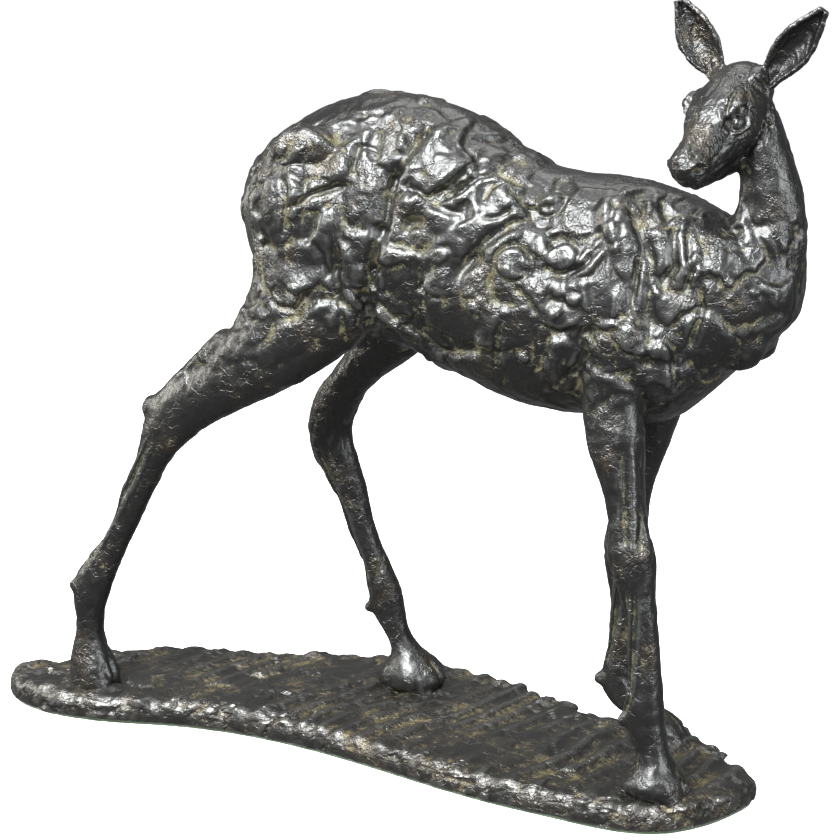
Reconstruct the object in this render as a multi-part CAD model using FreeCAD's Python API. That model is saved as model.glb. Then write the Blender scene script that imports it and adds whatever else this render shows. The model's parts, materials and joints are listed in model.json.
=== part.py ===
"""A cast bronze statuette of a standing doe on a rocky base.

The doe faces +X with its head turned back over its right shoulder, so the muzzle points to -Y. The base lies on
z = 0 under a felt sheet, and the origin is on the felt's underside. Everything is in millimetres.

The figure is cast in sections, as a foundry does: a hollow barrel, a hollow neck, a hollow head, two ears and four
solid legs. Each section ends in a flat joint face with a round spigot that plugs into the next section's socket
(a Roman joint), and small bronze cross pins lock it. Plugs fill the holes that held the barrel's sand core. Threaded
studs in the hooves pass through the hollow base, and nuts over washers pull the hooves down onto it.
"""

import FreeCAD, Part
import math
import os

V = FreeCAD.Vector
PARTS = "parts"

# ---- driving dimensions -------------------------------------------------------------------------------------------
MID_Y = -13.0            # the doe's own middle plane: it stands a little to the right of the base's middle
WALL = 4.0               # wall of the hollow castings
FIT = 0.05               # radial clearance of a spigot in its socket, and of a pin in its hole
GROUND = 14.0            # top of the base under the hooves

FELT_THICK = 1.5
FELT_INSET = 2.5
COUNTERBORE_TOP = 8.5    # height of the counterbores' ceilings, which the washers bear on
COUNTERBORE_R = 7.0

STUD_R = 2.5             # M5 studs
STUD_TOP = GROUND + 8.0
STUD_FOOT = 2.6
CLEARANCE_HOLE_R = 2.75
WASHER_R = 5.0
WASHER_THICK = 1.0
NUT_ACROSS_FLATS = 8.0
NUT_THICK = 4.0

LEG_SPIGOT_R = 4.0
LEG_SPIGOT_LONG = 12.0
NECK_SPIGOT_R = 10.0
NECK_SPIGOT_LONG = 9.0
HEAD_SPIGOT_R = 5.5
HEAD_SPIGOT_LONG = 7.0
EAR_PEG_R = 1.6
EAR_PEG_LONG = 5.0
PIN_R = 1.25             # cross pins
PLUG_R = 3.0             # core plugs

# Barrel stations: x, top z, bottom z, half width, height of the widest point.
BARREL = [
    (-61.0, 279.0, 257.0, 9.0, 268.0),
    (-56.0, 289.0, 240.0, 21.0, 266.0),
    (-44.0, 301.0, 222.0, 31.0, 264.0),
    (-22.0, 314.0, 208.0, 37.0, 262.0),
    (5.0, 321.5, 205.0, 38.0, 260.0),
    (30.0, 320.5, 200.0, 38.0, 255.0),
    (60.0, 311.5, 188.0, 38.0, 246.0),
    (90.0, 294.0, 180.0, 39.0, 238.0),
    (120.0, 290.0, 179.0, 37.0, 236.0),
    (150.0, 286.0, 179.5, 34.0, 238.0),
    (178.0, 275.0, 200.0, 29.0, 240.0),
    (200.0, 266.0, 222.0, 21.0, 244.0),
    (211.0, 260.0, 234.0, 10.0, 248.0),
]

# Limb stations: x, y, z of the middle, then half width across the body and half depth fore and aft.
RIGHT_FORELEG = [
    (140.0, -30.0, 232.0, 13.0, 24.0),
    (136.0, -36.0, 206.0, 12.0, 18.5),
    (135.5, -38.5, 184.0, 10.5, 14.0),
    (140.5, -41.0, 162.0, 9.0, 11.2),
    (145.5, -43.0, 138.0, 7.8, 9.4),
    (148.5, -44.0, 123.0, 8.8, 11.0),
    (152.0, -45.0, 106.0, 7.0, 8.4),
    (155.5, -46.0, 86.0, 6.0, 7.2),
    (157.0, -46.5, 66.0, 6.6, 7.8),
    (157.0, -47.0, 54.0, 8.0, 9.6),
    (159.5, -47.5, 41.0, 7.4, 8.4),
    (162.5, -48.0, 28.0, 9.0, 9.8),
    (165.0, -48.0, GROUND, 11.0, 13.5),
]
LEFT_FORELEG = [
    (143.0, 4.0, 232.0, 13.0, 24.0),
    (142.0, 9.0, 206.0, 12.0, 18.0),
    (139.0, 11.0, 184.0, 10.5, 13.0),
    (133.0, 11.5, 160.0, 9.0, 10.5),
    (128.0, 11.0, 134.0, 7.6, 8.6),
    (125.0, 10.0, 109.0, 8.6, 10.4),
    (124.5, 10.5, 90.0, 6.8, 7.4),
    (124.5, 11.0, 70.0, 5.8, 6.2),
    (123.0, 11.5, 53.0, 6.4, 6.8),
    (122.5, 12.0, 41.0, 7.8, 8.4),
    (131.0, 13.0, 30.0, 7.2, 7.6),
    (141.0, 14.0, 22.0, 9.0, 8.6),
    (147.0, 14.0, GROUND, 11.0, 12.5),
]
RIGHT_HIND_LEG = [
    (-8.0, -31.0, 264.0, 17.0, 38.0),
    (-14.0, -36.0, 238.0, 17.0, 37.0),
    (-27.0, -39.0, 214.0, 16.0, 28.0),
    (-46.0, -41.0, 195.0, 13.0, 20.0),
    (-66.0, -42.0, 180.0, 10.5, 15.0),
    (-85.0, -42.0, 168.0, 9.0, 14.2),
    (-97.5, -42.0, 156.0, 8.5, 12.8),
    (-106.5, -42.0, 140.0, 7.5, 9.0),
    (-117.5, -42.5, 117.0, 6.4, 7.4),
    (-132.0, -43.0, 89.0, 6.2, 7.2),
    (-144.5, -43.5, 68.0, 7.6, 10.4),
    (-147.0, -44.0, 52.0, 7.2, 8.0),
    (-147.5, -44.0, 38.0, 8.0, 8.4),
    (-146.0, -44.0, 25.0, 10.5, 13.0),
    (-146.0, -45.0, GROUND, 11.0, 13.5),
]
LEFT_HIND_LEG = [
    (-2.0, 6.0, 262.0, 16.0, 36.0),
    (5.0, 9.0, 234.0, 16.0, 34.0),
    (3.0, 12.0, 210.0, 14.0, 21.0),
    (-12.0, 15.0, 190.0, 11.0, 13.0),
    (-28.0, 16.5, 172.0, 9.5, 10.5),
    (-37.5, 18.0, 154.0, 8.8, 12.2),
    (-38.0, 19.0, 140.0, 7.8, 12.0),
    (-28.5, 20.0, 118.0, 6.5, 9.0),
    (-21.0, 21.0, 94.0, 6.0, 7.0),
    (-13.0, 22.0, 74.0, 6.4, 7.6),
    (-9.5, 23.0, 59.0, 7.6, 9.4),
    (-4.5, 23.5, 45.0, 6.6, 7.0),
    (1.0, 24.0, 33.0, 8.0, 8.0),
    (6.0, 24.0, GROUND, 11.0, 13.5),
]
NECK = [
    (168.0, -13.0, 238.0, 26.0, 35.0),
    (187.0, -13.0, 250.0, 21.0, 27.0),
    (195.5, -13.5, 266.0, 15.5, 18.5),
    (197.0, -14.0, 282.0, 13.0, 14.5),
    (194.0, -14.0, 298.0, 11.5, 12.0),
    (189.5, -14.0, 312.0, 11.0, 11.0),
    (185.5, -14.5, 323.0, 10.5, 10.0),
]

# The head, in its own frame: distance along the face, drop below the face axis, half width, half height.
HEAD = [
    (-10.0, 0.0, 6.0, 6.0),
    (-6.0, 0.0, 11.5, 10.5),
    (4.0, 0.5, 15.0, 14.5),
    (16.0, 1.0, 16.0, 15.0),
    (28.0, 2.5, 12.0, 13.0),
    (38.0, 2.0, 9.2, 10.6),
    (46.0, 1.0, 8.2, 8.8),
    (51.0, 1.0, 5.0, 5.5),
]
SKULL = V(181.0, -15.0, 327.0)     # middle of the skull
FACE_HEADING = -108.0              # degrees round +Z from +X
FACE_DROP = 37.0                   # degrees that the muzzle points below level
HEAD_ROLL = 4.0                    # the head's left side is lower

EAR_HALF_WIDTH = 9.5
EAR_THICK = 3.2
EAR_CUP = 5.0                      # depth of the ear's hollow side
# Each ear: its root, its tip, and the way its hollow side faces.
RIGHT_EAR = (V(170.0, -14.0, 335.0), V(151.0, -13.0, 366.5), V(-0.3, -1.0, 0.1))
LEFT_EAR = (V(193.0, -18.0, 333.0), V(217.5, -21.0, 363.5), V(0.4, -1.0, 0.1))

# Where each section is parted: stations before this one belong to the barrel.
LEG_JOINT_Z = {"right_foreleg": 178.0, "left_foreleg": 178.0, "right_hind_leg": 196.0, "left_hind_leg": 188.0}
NECK_JOINT = (V(194.5, -13.5, 264.0), V(0.4, 0.0, 1.0))
HEAD_JOINT = (V(189.0, -14.2, 314.0), V(-0.34, -0.04, 1.0))

# The base's outline, from its left-hand end round the near side.
OUTLINE = [
    (-199.0, -42.0), (-188.0, -57.0), (-166.0, -64.0), (-132.0, -62.0), (-93.0, -51.0), (-54.0, -46.0),
    (-8.0, -49.0), (46.0, -59.0), (91.0, -66.0), (122.0, -68.0), (146.0, -69.0), (168.0, -64.0), (184.0, -50.0),
    (197.0, -24.0), (199.0, -6.0), (180.0, 8.0), (152.0, 28.0), (117.0, 33.0), (84.0, 38.0), (60.0, 50.0),
    (34.0, 58.0), (4.0, 63.0), (-28.0, 59.0), (-70.0, 44.0), (-104.0, 34.0), (-140.0, 22.0), (-162.0, 2.0),
    (-182.0, -20.0),
]
# Base levels: height, and how far the outline is drawn in there.
BASE_LEVELS = [(FELT_THICK, 1.0), (5.0, 0.0), (10.5, 1.0), (GROUND, 6.0)]

# Where the studs stand, one in each hoof: right fore, left fore, right hind, left hind.
STUDS = [(163.0, -48.0), (143.5, 14.0), (-146.0, -44.5), (5.0, 24.0)]

# Core plugs: a point outside the barrel and the way in.
PLUGS = [
    (V(20.0, 40.0, 262.0), V(0, -1, 0)),
    (V(95.0, 40.0, 238.0), V(0, -1, 0)),
    (V(30.0, MID_Y, 180.0), V(0, 0, 1)),
    (V(95.0, MID_Y, 165.0), V(0, 0, 1)),
]
PLUG_LONG = 40.0
PLUG_SINK = 1.5                    # the plugs are driven below the surface and chased over
LEG_PIN_LONG = 16.0
HEAD_PIN_LONG = 16.0


# ---- helpers ------------------------------------------------------------------------------------------------------
def closed_curve(points):
    """A smooth closed wire through the points."""
    curve = Part.BSplineCurve()
    curve.interpolate(Points=points, PeriodicFlag=True)
    return Part.Wire(curve.toShape())


def oval(centre, side, front, half_width, half_depth):
    """An ellipse-like wire, always started and turned the same way, so that lofts don't twist."""
    points = []
    for k in range(12):
        turn = 2 * math.pi * k / 12
        points.append(centre + side * (half_width * math.cos(turn)) + front * (half_depth * math.sin(turn)))
    return closed_curve(points)


def loft(wires):
    return Part.makeLoft(wires, True, False)


def direction(stations, k):
    """The way that a limb runs at station k."""
    before = V(*stations[max(k - 1, 0)][:3])
    after = V(*stations[min(k + 1, len(stations) - 1)][:3])
    return (after - before).normalize()


def limb(stations, thinner=0.0, flat_foot=False):
    """A limb lofted through its stations, with its wall drawn in by thinner."""
    wires = []
    for k, (x, y, z, half_width, half_depth) in enumerate(stations):
        along = V(0, 0, -1) if flat_foot and k == len(stations) - 1 else direction(stations, k)
        side = V(0, 1, 0)
        side = (side - along * side.dot(along)).normalize()
        front = along.cross(side)
        wires.append(oval(V(x, y, z), side, front, half_width - thinner, half_depth - thinner))
    return loft(wires)


def barrel_solid(thinner=0.0):
    """The trunk: sections square to X, narrower over the spine and fuller at the flanks."""
    wires = []
    stations = BARREL if thinner == 0 else BARREL[1:-1]
    for x, top, bottom, half_width, widest in stations:
        width = half_width - thinner
        up = top - thinner - widest
        down = widest - bottom - thinner
        points = []
        for k in range(12):
            turn = 2 * math.pi * k / 12
            reach = up if math.sin(turn) > 0 else down
            points.append(V(x, MID_Y + width * math.cos(turn), widest + reach * math.sin(turn)))
        wires.append(closed_curve(points))
    return loft(wires)


def half_space(point, normal, size=400.0):
    """A big block on the side of the plane that the normal points to."""
    block = Part.makeBox(size, size, size, V(-size / 2, -size / 2, 0))
    turn = FreeCAD.Rotation(V(0, 0, 1), normal)
    block.Placement = FreeCAD.Placement(point, turn)
    return block


def rod(start, along, radius, length):
    return Part.makeCylinder(radius, length, start, along)


def save(name, shapes):
    """Writes one node. Several loose solids go in as a group."""
    solids = [solid for shape in shapes for solid in shape.Solids]
    shape = solids[0] if len(solids) == 1 else Part.makeCompound(solids)
    shape.exportStep(os.path.join(PARTS, name + ".step"))
    print(name, len(solids), "solid(s)", round(sum(s.Volume for s in solids) / 1000.0, 1), "cm3",
          all(s.isValid() for s in solids))


def at_height(stations, z):
    """The limb's middle and direction where it crosses height z."""
    for k in range(len(stations) - 1):
        a, b = V(*stations[k][:3]), V(*stations[k + 1][:3])
        if a.z >= z >= b.z:
            share = (a.z - z) / (a.z - b.z)
            return a + (b - a) * share, (b - a).normalize()
    raise ValueError("the limb doesn't reach that height")


# ---- sections of the figure ---------------------------------------------------------------------------------------
LIMBS = {
    "right_foreleg": RIGHT_FORELEG,
    "left_foreleg": LEFT_FORELEG,
    "right_hind_leg": RIGHT_HIND_LEG,
    "left_hind_leg": LEFT_HIND_LEG,
}


def leg_joints():
    """Each leg's joint face: its middle, and the way the leg runs down from it."""
    return {name: at_height(LIMBS[name], z) for name, z in LEG_JOINT_Z.items()}


def make_legs(joints):
    """Solid legs, each with a spigot on top, a cross hole for its pin and a stud hole up through the hoof."""
    legs = {}
    for name, stations in LIMBS.items():
        middle, down = joints[name]
        leg = limb(stations, flat_foot=True).cut(half_space(middle, down * -1))
        leg = leg.fuse(rod(middle + down * 2, down * -1, LEG_SPIGOT_R, LEG_SPIGOT_LONG + 2))
        legs[name] = leg
    return legs


def make_barrel(joints, neck_loft):
    """The hollow trunk with the limbs' upper ends and the neck's root cast on, and a socket at each joint."""
    outside = barrel_solid()
    for name, stations in LIMBS.items():
        middle, down = joints[name]
        outside = outside.fuse(limb(stations[:8]).cut(half_space(middle, down)))
    neck_middle, neck_up = NECK_JOINT[0], V(NECK_JOINT[1]).normalize()
    outside = outside.fuse(neck_loft.cut(half_space(neck_middle, neck_up)))
    outside = outside.cut(neck_loft.cut(half_space(neck_middle, neck_up * -1)))
    inside = barrel_solid(WALL)
    barrel = outside.cut(inside)
    for middle, down in joints.values():
        barrel = barrel.cut(rod(middle + down, down * -1, LEG_SPIGOT_R + FIT, LEG_SPIGOT_LONG + 1.3))
    barrel = barrel.cut(rod(neck_middle + neck_up, neck_up * -1, NECK_SPIGOT_R + FIT, NECK_SPIGOT_LONG + 1.3))
    return barrel, outside, inside


def make_neck(neck_loft):
    """The hollow neck: a spigot below for the trunk and a smaller one above for the head."""
    low, low_up = NECK_JOINT[0], V(NECK_JOINT[1]).normalize()
    high, high_up = HEAD_JOINT[0], V(HEAD_JOINT[1]).normalize()
    neck = neck_loft.cut(half_space(low, low_up * -1)).cut(half_space(high, high_up))
    neck = neck.fuse(rod(low + low_up, low_up * -1, NECK_SPIGOT_R, NECK_SPIGOT_LONG + 1))
    neck = neck.fuse(rod(high - high_up, high_up, HEAD_SPIGOT_R, HEAD_SPIGOT_LONG + 1))
    core = limb(NECK[2:6], thinner=WALL + 1.5)
    bore = rod(low - low_up * (NECK_SPIGOT_LONG + 1), low_up, NECK_SPIGOT_R - WALL, NECK_SPIGOT_LONG + 8)
    return neck.cut(core).cut(bore)


def head_axes():
    """The head's own directions: along the face, to its left, and up from the face."""
    turn = FreeCAD.Rotation(V(0, 0, 1), FACE_HEADING)
    turn = turn.multiply(FreeCAD.Rotation(V(0, 1, 0), FACE_DROP))
    turn = turn.multiply(FreeCAD.Rotation(V(1, 0, 0), HEAD_ROLL))
    return [turn.multVec(axis) for axis in (V(1, 0, 0), V(0, 1, 0), V(0, 0, 1))]


def head_loft(thinner=0.0):
    along, left, up = head_axes()
    wires = []
    stations = HEAD if thinner == 0 else HEAD[1:-2]
    for reach, drop, half_width, half_height in stations:
        middle = SKULL + along * reach - up * drop
        wires.append(oval(middle, left, up, half_width - thinner, half_height - thinner))
    return loft(wires)


def make_head(neck_loft):
    """The hollow head, with a socket below for the neck and a small socket for each ear's peg."""
    low, low_up = HEAD_JOINT[0], V(HEAD_JOINT[1]).normalize()
    nape = neck_loft.cut(half_space(low, low_up * -1))
    head = head_loft().fuse(nape).cut(neck_loft.cut(half_space(low, low_up)))
    head = head.cut(rod(low - low_up, low_up, HEAD_SPIGOT_R + FIT, HEAD_SPIGOT_LONG + 1.3))
    cavity = head_loft(WALL).cut(rod(low, low_up, HEAD_SPIGOT_R + WALL, HEAD_SPIGOT_LONG + 4))
    return head.cut(cavity.cut(neck_loft))


def make_ear(root, tip, facing):
    """A leaf-shaped ear, hollow towards the face, with a peg at its root."""
    length = (tip - root).normalize()
    width = length.cross(facing).normalize()
    hollow = width.cross(length)
    shares = [(0.0, 0.5), (0.18, 0.78), (0.42, 1.0), (0.68, 0.8), (0.88, 0.42), (1.0, 0.1)]
    leaf, cup = [], []
    for share, wide in shares:
        middle = root + (tip - root) * share
        leaf.append(oval(middle, width, hollow, EAR_HALF_WIDTH * wide, EAR_THICK * (0.55 + wide)))
        if 0 < share < 0.9:
            cup.append(oval(middle + hollow * EAR_CUP, width, hollow, EAR_HALF_WIDTH * wide * 0.72, EAR_CUP * wide))
    ear = loft(leaf).cut(loft(cup))
    return ear.fuse(rod(root + length, length * -1, EAR_PEG_R, EAR_PEG_LONG + 1))


def cross_pins(points, along, reach):
    """Pins along one direction, centred on the points."""
    return [rod(point - along * (reach / 2), along, PIN_R, reach) for point in points]


# ---- the base -----------------------------------------------------------------------------------------------------
def outline_wire(inset, z):
    """The base's outline at height z, drawn in towards the middle by inset."""
    points = []
    count = len(OUTLINE)
    for k in range(count):
        here = V(*OUTLINE[k], z)
        run = (V(*OUTLINE[(k + 1) % count], z) - V(*OUTLINE[k - 1], z)).normalize()
        inward = V(-run.y, run.x, 0)
        points.append(here + inward * inset)
    return closed_curve(points)


def make_base():
    """The rocky ground: one solid plate, with a counterbored hole under each hoof."""
    base = loft([outline_wire(inset, z) for z, inset in BASE_LEVELS])
    for x, y in STUDS:
        base = base.cut(rod(V(x, y, 0), V(0, 0, 1), CLEARANCE_HOLE_R, GROUND + 1))
        base = base.cut(rod(V(x, y, 0), V(0, 0, 1), COUNTERBORE_R, COUNTERBORE_TOP))
    return base


def make_felt():
    face = Part.Face(outline_wire(FELT_INSET, 0.0))
    return face.extrude(V(0, 0, FELT_THICK))


def make_fasteners():
    """Studs, washers and nuts, one of each under every hoof."""
    studs, washers, nuts = [], [], []
    for x, y in STUDS:
        studs.append(rod(V(x, y, STUD_FOOT), V(0, 0, 1), STUD_R, STUD_TOP - STUD_FOOT))
        washer = rod(V(x, y, COUNTERBORE_TOP - WASHER_THICK), V(0, 0, 1), WASHER_R, WASHER_THICK)
        hole = rod(V(x, y, 0), V(0, 0, 1), CLEARANCE_HOLE_R, GROUND)
        washers.append(washer.cut(hole))
        corner = NUT_ACROSS_FLATS / math.sqrt(3)
        turns = [math.radians(60 * k) for k in range(7)]
        nut_foot = COUNTERBORE_TOP - WASHER_THICK - NUT_THICK
        ring = [V(x + corner * math.cos(a), y + corner * math.sin(a), nut_foot) for a in turns]
        nut = Part.Face(Part.makePolygon(ring)).extrude(V(0, 0, NUT_THICK))
        nuts.append(nut.cut(rod(V(x, y, 0), V(0, 0, 1), STUD_R + FIT, GROUND)))
    return studs, washers, nuts


# ---- the whole ----------------------------------------------------------------------------------------------------
def main():
    os.makedirs("parts", exist_ok=True)
    joints = leg_joints()
    neck_loft = limb(NECK)
    legs = make_legs(joints)
    barrel, outside, inside = make_barrel(joints, neck_loft)
    neck = make_neck(neck_loft)
    head = make_head(neck_loft)
    ears = {"right_ear": make_ear(*RIGHT_EAR), "left_ear": make_ear(*LEFT_EAR)}

    # Pins lie across the joints, and end inside the walls that they lock.
    across = V(0, 1, 0)
    leg_pins = []
    for middle, down in joints.values():
        leg_pins += cross_pins([middle - down * (LEG_SPIGOT_LONG / 2)], across, LEG_PIN_LONG)
    neck_up = V(NECK_JOINT[1]).normalize()
    neck_pins = cross_pins([NECK_JOINT[0] - neck_up * (NECK_SPIGOT_LONG / 2) + across * side * NECK_SPIGOT_R
                            for side in (1, -1)], across, 6.0)
    head_up = V(HEAD_JOINT[1]).normalize()
    head_pins = cross_pins([HEAD_JOINT[0] + head_up * (HEAD_SPIGOT_LONG / 2)], across, HEAD_PIN_LONG)

    def drilled(shape, pins):
        for pin in pins:
            centre, axis = pin.BoundBox.Center, V(0, 1, 0)
            reach = pin.BoundBox.YLength
            shape = shape.cut(rod(centre - axis * (reach / 2), axis, PIN_R + FIT, reach))
        return shape

    barrel = drilled(barrel, leg_pins + neck_pins)
    plugs = []
    for point, along in PLUGS:
        bar = rod(point, along, PLUG_R, PLUG_LONG)
        plugs.append(bar.common(barrel_solid(PLUG_SINK)).cut(inside))
        barrel = barrel.cut(rod(point, along, PLUG_R + FIT, PLUG_LONG))
    for name in legs:
        legs[name] = drilled(legs[name], leg_pins)
        for x, y in STUDS:
            legs[name] = legs[name].cut(rod(V(x, y, GROUND - 1), V(0, 0, 1), STUD_R + FIT, STUD_TOP - GROUND + 1.5))
    neck = drilled(neck, neck_pins + head_pins)
    head = drilled(head, head_pins)
    for ear in ears.values():
        head = head.cut(ear)

    studs, washers, nuts = make_fasteners()
    save("barrel_casting", [barrel])
    save("neck_casting", [neck])
    save("head_casting", [head])
    for name, ear in ears.items():
        save(name, [ear])
    for name, leg in legs.items():
        save(name, [leg])
    save("leg_joint_pins", leg_pins)
    save("neck_joint_pins", neck_pins)
    save("head_joint_pins", head_pins)
    save("core_plugs", plugs)
    save("base_casting", [make_base()])
    save("hoof_studs", studs)
    save("hoof_washers", washers)
    save("hoof_nuts", nuts)
    save("base_felt", [make_felt()])


main()
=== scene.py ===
# %% [markdown]
# # A bronze doe on a rocky base
#
# This lesson makes the skin of a small cast bronze. The figure is a doe that stands on a thin slab of
# rocky ground and looks back over its right shoulder. A sculptor of such a figure bends a wire armature,
# presses pellets of clay onto it, then works them with thumb and palette knife, and the foundry casts
# every mark of that in bronze. The script goes the same way: a plain core, clay pellets, one skin over
# all of them, tool marks, then patina. The plain castings come with the frame. Each sculpted piece below
# stands for one of them, in the same place.

# %% Load the castings
import json
import math

import bmesh
import bpy
import numpy as np
from mathutils import Matrix, Vector, kdtree

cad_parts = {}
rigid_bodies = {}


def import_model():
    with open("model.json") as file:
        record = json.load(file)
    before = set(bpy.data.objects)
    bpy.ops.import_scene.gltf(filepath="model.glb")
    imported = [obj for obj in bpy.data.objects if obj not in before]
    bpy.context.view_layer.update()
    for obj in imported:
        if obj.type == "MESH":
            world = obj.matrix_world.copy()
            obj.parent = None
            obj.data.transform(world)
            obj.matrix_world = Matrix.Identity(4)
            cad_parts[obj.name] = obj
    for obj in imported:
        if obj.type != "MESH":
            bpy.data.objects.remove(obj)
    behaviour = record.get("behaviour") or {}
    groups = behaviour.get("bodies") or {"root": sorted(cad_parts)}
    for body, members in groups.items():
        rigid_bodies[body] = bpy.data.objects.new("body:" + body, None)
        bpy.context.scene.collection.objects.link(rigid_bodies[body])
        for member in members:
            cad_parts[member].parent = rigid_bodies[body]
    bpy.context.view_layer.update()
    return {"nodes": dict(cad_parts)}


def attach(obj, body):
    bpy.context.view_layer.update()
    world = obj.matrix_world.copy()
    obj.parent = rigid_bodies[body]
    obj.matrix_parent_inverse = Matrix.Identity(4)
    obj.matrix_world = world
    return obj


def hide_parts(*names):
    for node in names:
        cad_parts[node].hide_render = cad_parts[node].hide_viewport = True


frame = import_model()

MM = 0.001
nodes = frame["nodes"]

# %% [markdown]
# ## Camera
#
# The figure is seen from its right side and a little from the front, from slightly above, with a fairly
# long lens so that the legs stay upright. The camera looks at the middle of the figure from one metre
# away.

# %% Place the camera
VIEW_AZIMUTH = 26.0      # degrees, from square-on to the doe's right side towards its front
VIEW_HEIGHT = 14.0       # degrees above level
VIEW_DISTANCE = 1.0
VIEW_TARGET = Vector((25, -8, 165)) * MM
VIEW_LENS = 88.7

azimuth, height = math.radians(VIEW_AZIMUTH), math.radians(VIEW_HEIGHT)
level = math.cos(height)
towards_eye = Vector((math.sin(azimuth) * level, -math.cos(azimuth) * level, math.sin(height)))
camera = bpy.data.objects.new("camera", bpy.data.cameras.new("camera"))
camera.data.lens = VIEW_LENS
camera.data.sensor_width = 36.0
camera.location = VIEW_TARGET + towards_eye * VIEW_DISTANCE
camera.rotation_euler = towards_eye.to_track_quat("Z", "Y").to_euler()
bpy.context.collection.objects.link(camera)
bpy.context.scene.camera = camera
print("camera at", [round(c, 3) for c in camera.location])

# %% [markdown]
# ## The core
#
# Clay needs something to sit on. The plain castings already have the right size and stance, so copies of
# them make the core. Their loose triangles are merged first. The ears aren't in it: they are leaves, and
# are modelled apart.

# %% Helpers for meshes
def new_object(name, mesh):
    """An object at the origin, in the scene, with smooth shading."""
    piece = bpy.data.objects.new(name, mesh)
    bpy.context.collection.objects.link(piece)
    mesh.shade_smooth()
    return piece


def add_casting(bm, node):
    """Adds a merged copy of a plain casting to the clay."""
    copy = bmesh.new()
    copy.from_mesh(nodes[node].data)
    bmesh.ops.remove_doubles(copy, verts=copy.verts, dist=0.01 * MM)
    mesh = bpy.data.meshes.new(node + "_core")
    copy.to_mesh(mesh)
    copy.free()
    bm.from_mesh(mesh)
    bpy.data.meshes.remove(mesh)


def turned(along, up):
    """A rotation whose X runs along one direction and whose Z leans to the other."""
    x = Vector(along).normalized()
    y = Vector(up).cross(x).normalized()
    return Matrix((x, y, x.cross(y))).transposed().to_4x4()


def pellet(bm, centre, radii, along=(1, 0, 0), up=(0, 0, 1)):
    """Presses one egg-shaped pellet of clay on. Sizes are in millimetres."""
    size = Matrix.Diagonal((*(Vector(radii) * MM), 1))
    place = Matrix.Translation(Vector(centre) * MM) @ turned(along, up) @ size
    bmesh.ops.create_icosphere(bm, subdivisions=3, radius=1.0, matrix=place)


def roll(bm, start, end, thick_start, thick_end):
    """Lays a roll of clay with round ends between two points, such as a tendon."""
    a, b = Vector(start), Vector(end)
    count = max(2, int((b - a).length / (0.6 * min(thick_start, thick_end))))
    for k in range(count + 1):
        share = k / count
        thick = thick_start + (thick_end - thick_start) * share
        pellet(bm, a.lerp(b, share), (thick, thick, thick))


# %% [markdown]
# ## Muscles and bones in clay
#
# The pellets below are the forms that show under a doe's skin: the point of the hip, the thigh, the
# shoulder blade and arm, the hocks and knees, the fetlocks with their small dewclaws, and the cloven
# hooves. They are given once for each limb, because no two legs stand alike.

# %% Press the body's pellets on
body = bmesh.new()
RIGHT, LEFT = -1, 1
SPINE = -13.0            # the doe's own middle plane, in mm

# Packing that fills the hollow trunk and neck, so that the skin has no inside: place, then radii.
PACKING = [
    ((-38, SPINE, 262), (20, 27, 35)),
    ((-12, SPINE, 261), (30, 34, 50)),
    ((18, SPINE, 261), (34, 35, 57)),
    ((48, SPINE, 252), (34, 35, 60)),
    ((78, SPINE, 242), (34, 35, 58)),
    ((108, SPINE, 236), (34, 35, 53)),
    ((138, SPINE, 235), (32, 32, 50)),
    ((166, SPINE, 238), (30, 27, 40)),
    ((190, SPINE, 246), (16, 19, 26)),
    ((196, SPINE, 270), (12, 12, 26)),
    ((192, SPINE, 300), (8, 8, 24)),
]
for place, radii in PACKING:
    pellet(body, place, radii)

for side in (RIGHT, LEFT):
    # Point of the hip, thigh, shoulder blade and upper arm, then the breast.
    pellet(body, (-18, SPINE + side * 27, 296), (17, 9, 11), (1, 0, 0.2))
    pellet(body, (-16, SPINE + side * 28, 262), (27, 13, 34), (1, 0, 0.3))
    pellet(body, (142, SPINE + side * 22, 252), (16, 12, 34), (1, 0, 0.35))
    pellet(body, (150, SPINE + side * 21, 214), (22, 11, 20), (1, 0, -0.4))
    pellet(body, (184, SPINE + side * 9, 226), (15, 11, 19), (1, 0, 0.6))
pellet(body, (-50, SPINE, 270), (15, 16, 22))

# Each fetlock's dewclaws, behind the joint: place and the way that is back.
DEWCLAWS = [
    ((-153, -44, 67), (-1, 0, -0.4)),
    ((-17, 23, 55), (-1, 0, -0.7)),
    ((149, -47, 48), (-1, 0, -0.6)),
    ((115, 12, 42), (-1, 0, -0.5)),
]
for (x, y, z), back in DEWCLAWS:
    for side in (RIGHT, LEFT):
        pellet(body, (x, y + side * 3.2, z), (4.2, 2.8, 3.6), back)

# Each hoof's place, the way its toe points, and the height of the ground under it.
HOOVES = [
    ((167, -48), (1, -0.1, 0), 14),
    ((147, 14), (1, 0, 0), 13),
    ((-144, -45), (1, -0.1, 0), 14),
    ((8, 24), (1, -0.15, 0), 14),
]
for (x, y), toe, height in HOOVES:
    # Two claws side by side, and the pad of the heel behind them.
    across = Vector(toe).cross(Vector((0, 0, 1))).normalized()
    for side in (RIGHT, LEFT):
        claw = Vector((x, y, height + 2)) + across * side * 4.8 + Vector(toe) * 2
        pellet(body, claw, (12, 5.0, 6.4), Vector(toe) + Vector((0, 0, -0.45)))
    pellet(body, (x - 6 * toe[0], y, height + 2), (7, 8, 6))

# Points of the hocks and knees, and the tendon down to each hock.
pellet(body, (-104, -42, 164), (8, 6, 7), (-0.7, 0, 0.5))
pellet(body, (-45, 18.5, 148), (6.5, 6, 7), (-0.8, 0, 0.3))
pellet(body, (153, -45, 124), (6, 7.5, 9))
pellet(body, (129, 10, 110), (6, 7.5, 9))
roll(body, (-62, -42, 202), (-105, -42, 165), 7.0, 4.5)
roll(body, (-14, 15, 204), (-45, 18.5, 151), 5.5, 4.0)
print("clay pellets on the body:", len(body.verts), "points")

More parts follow.
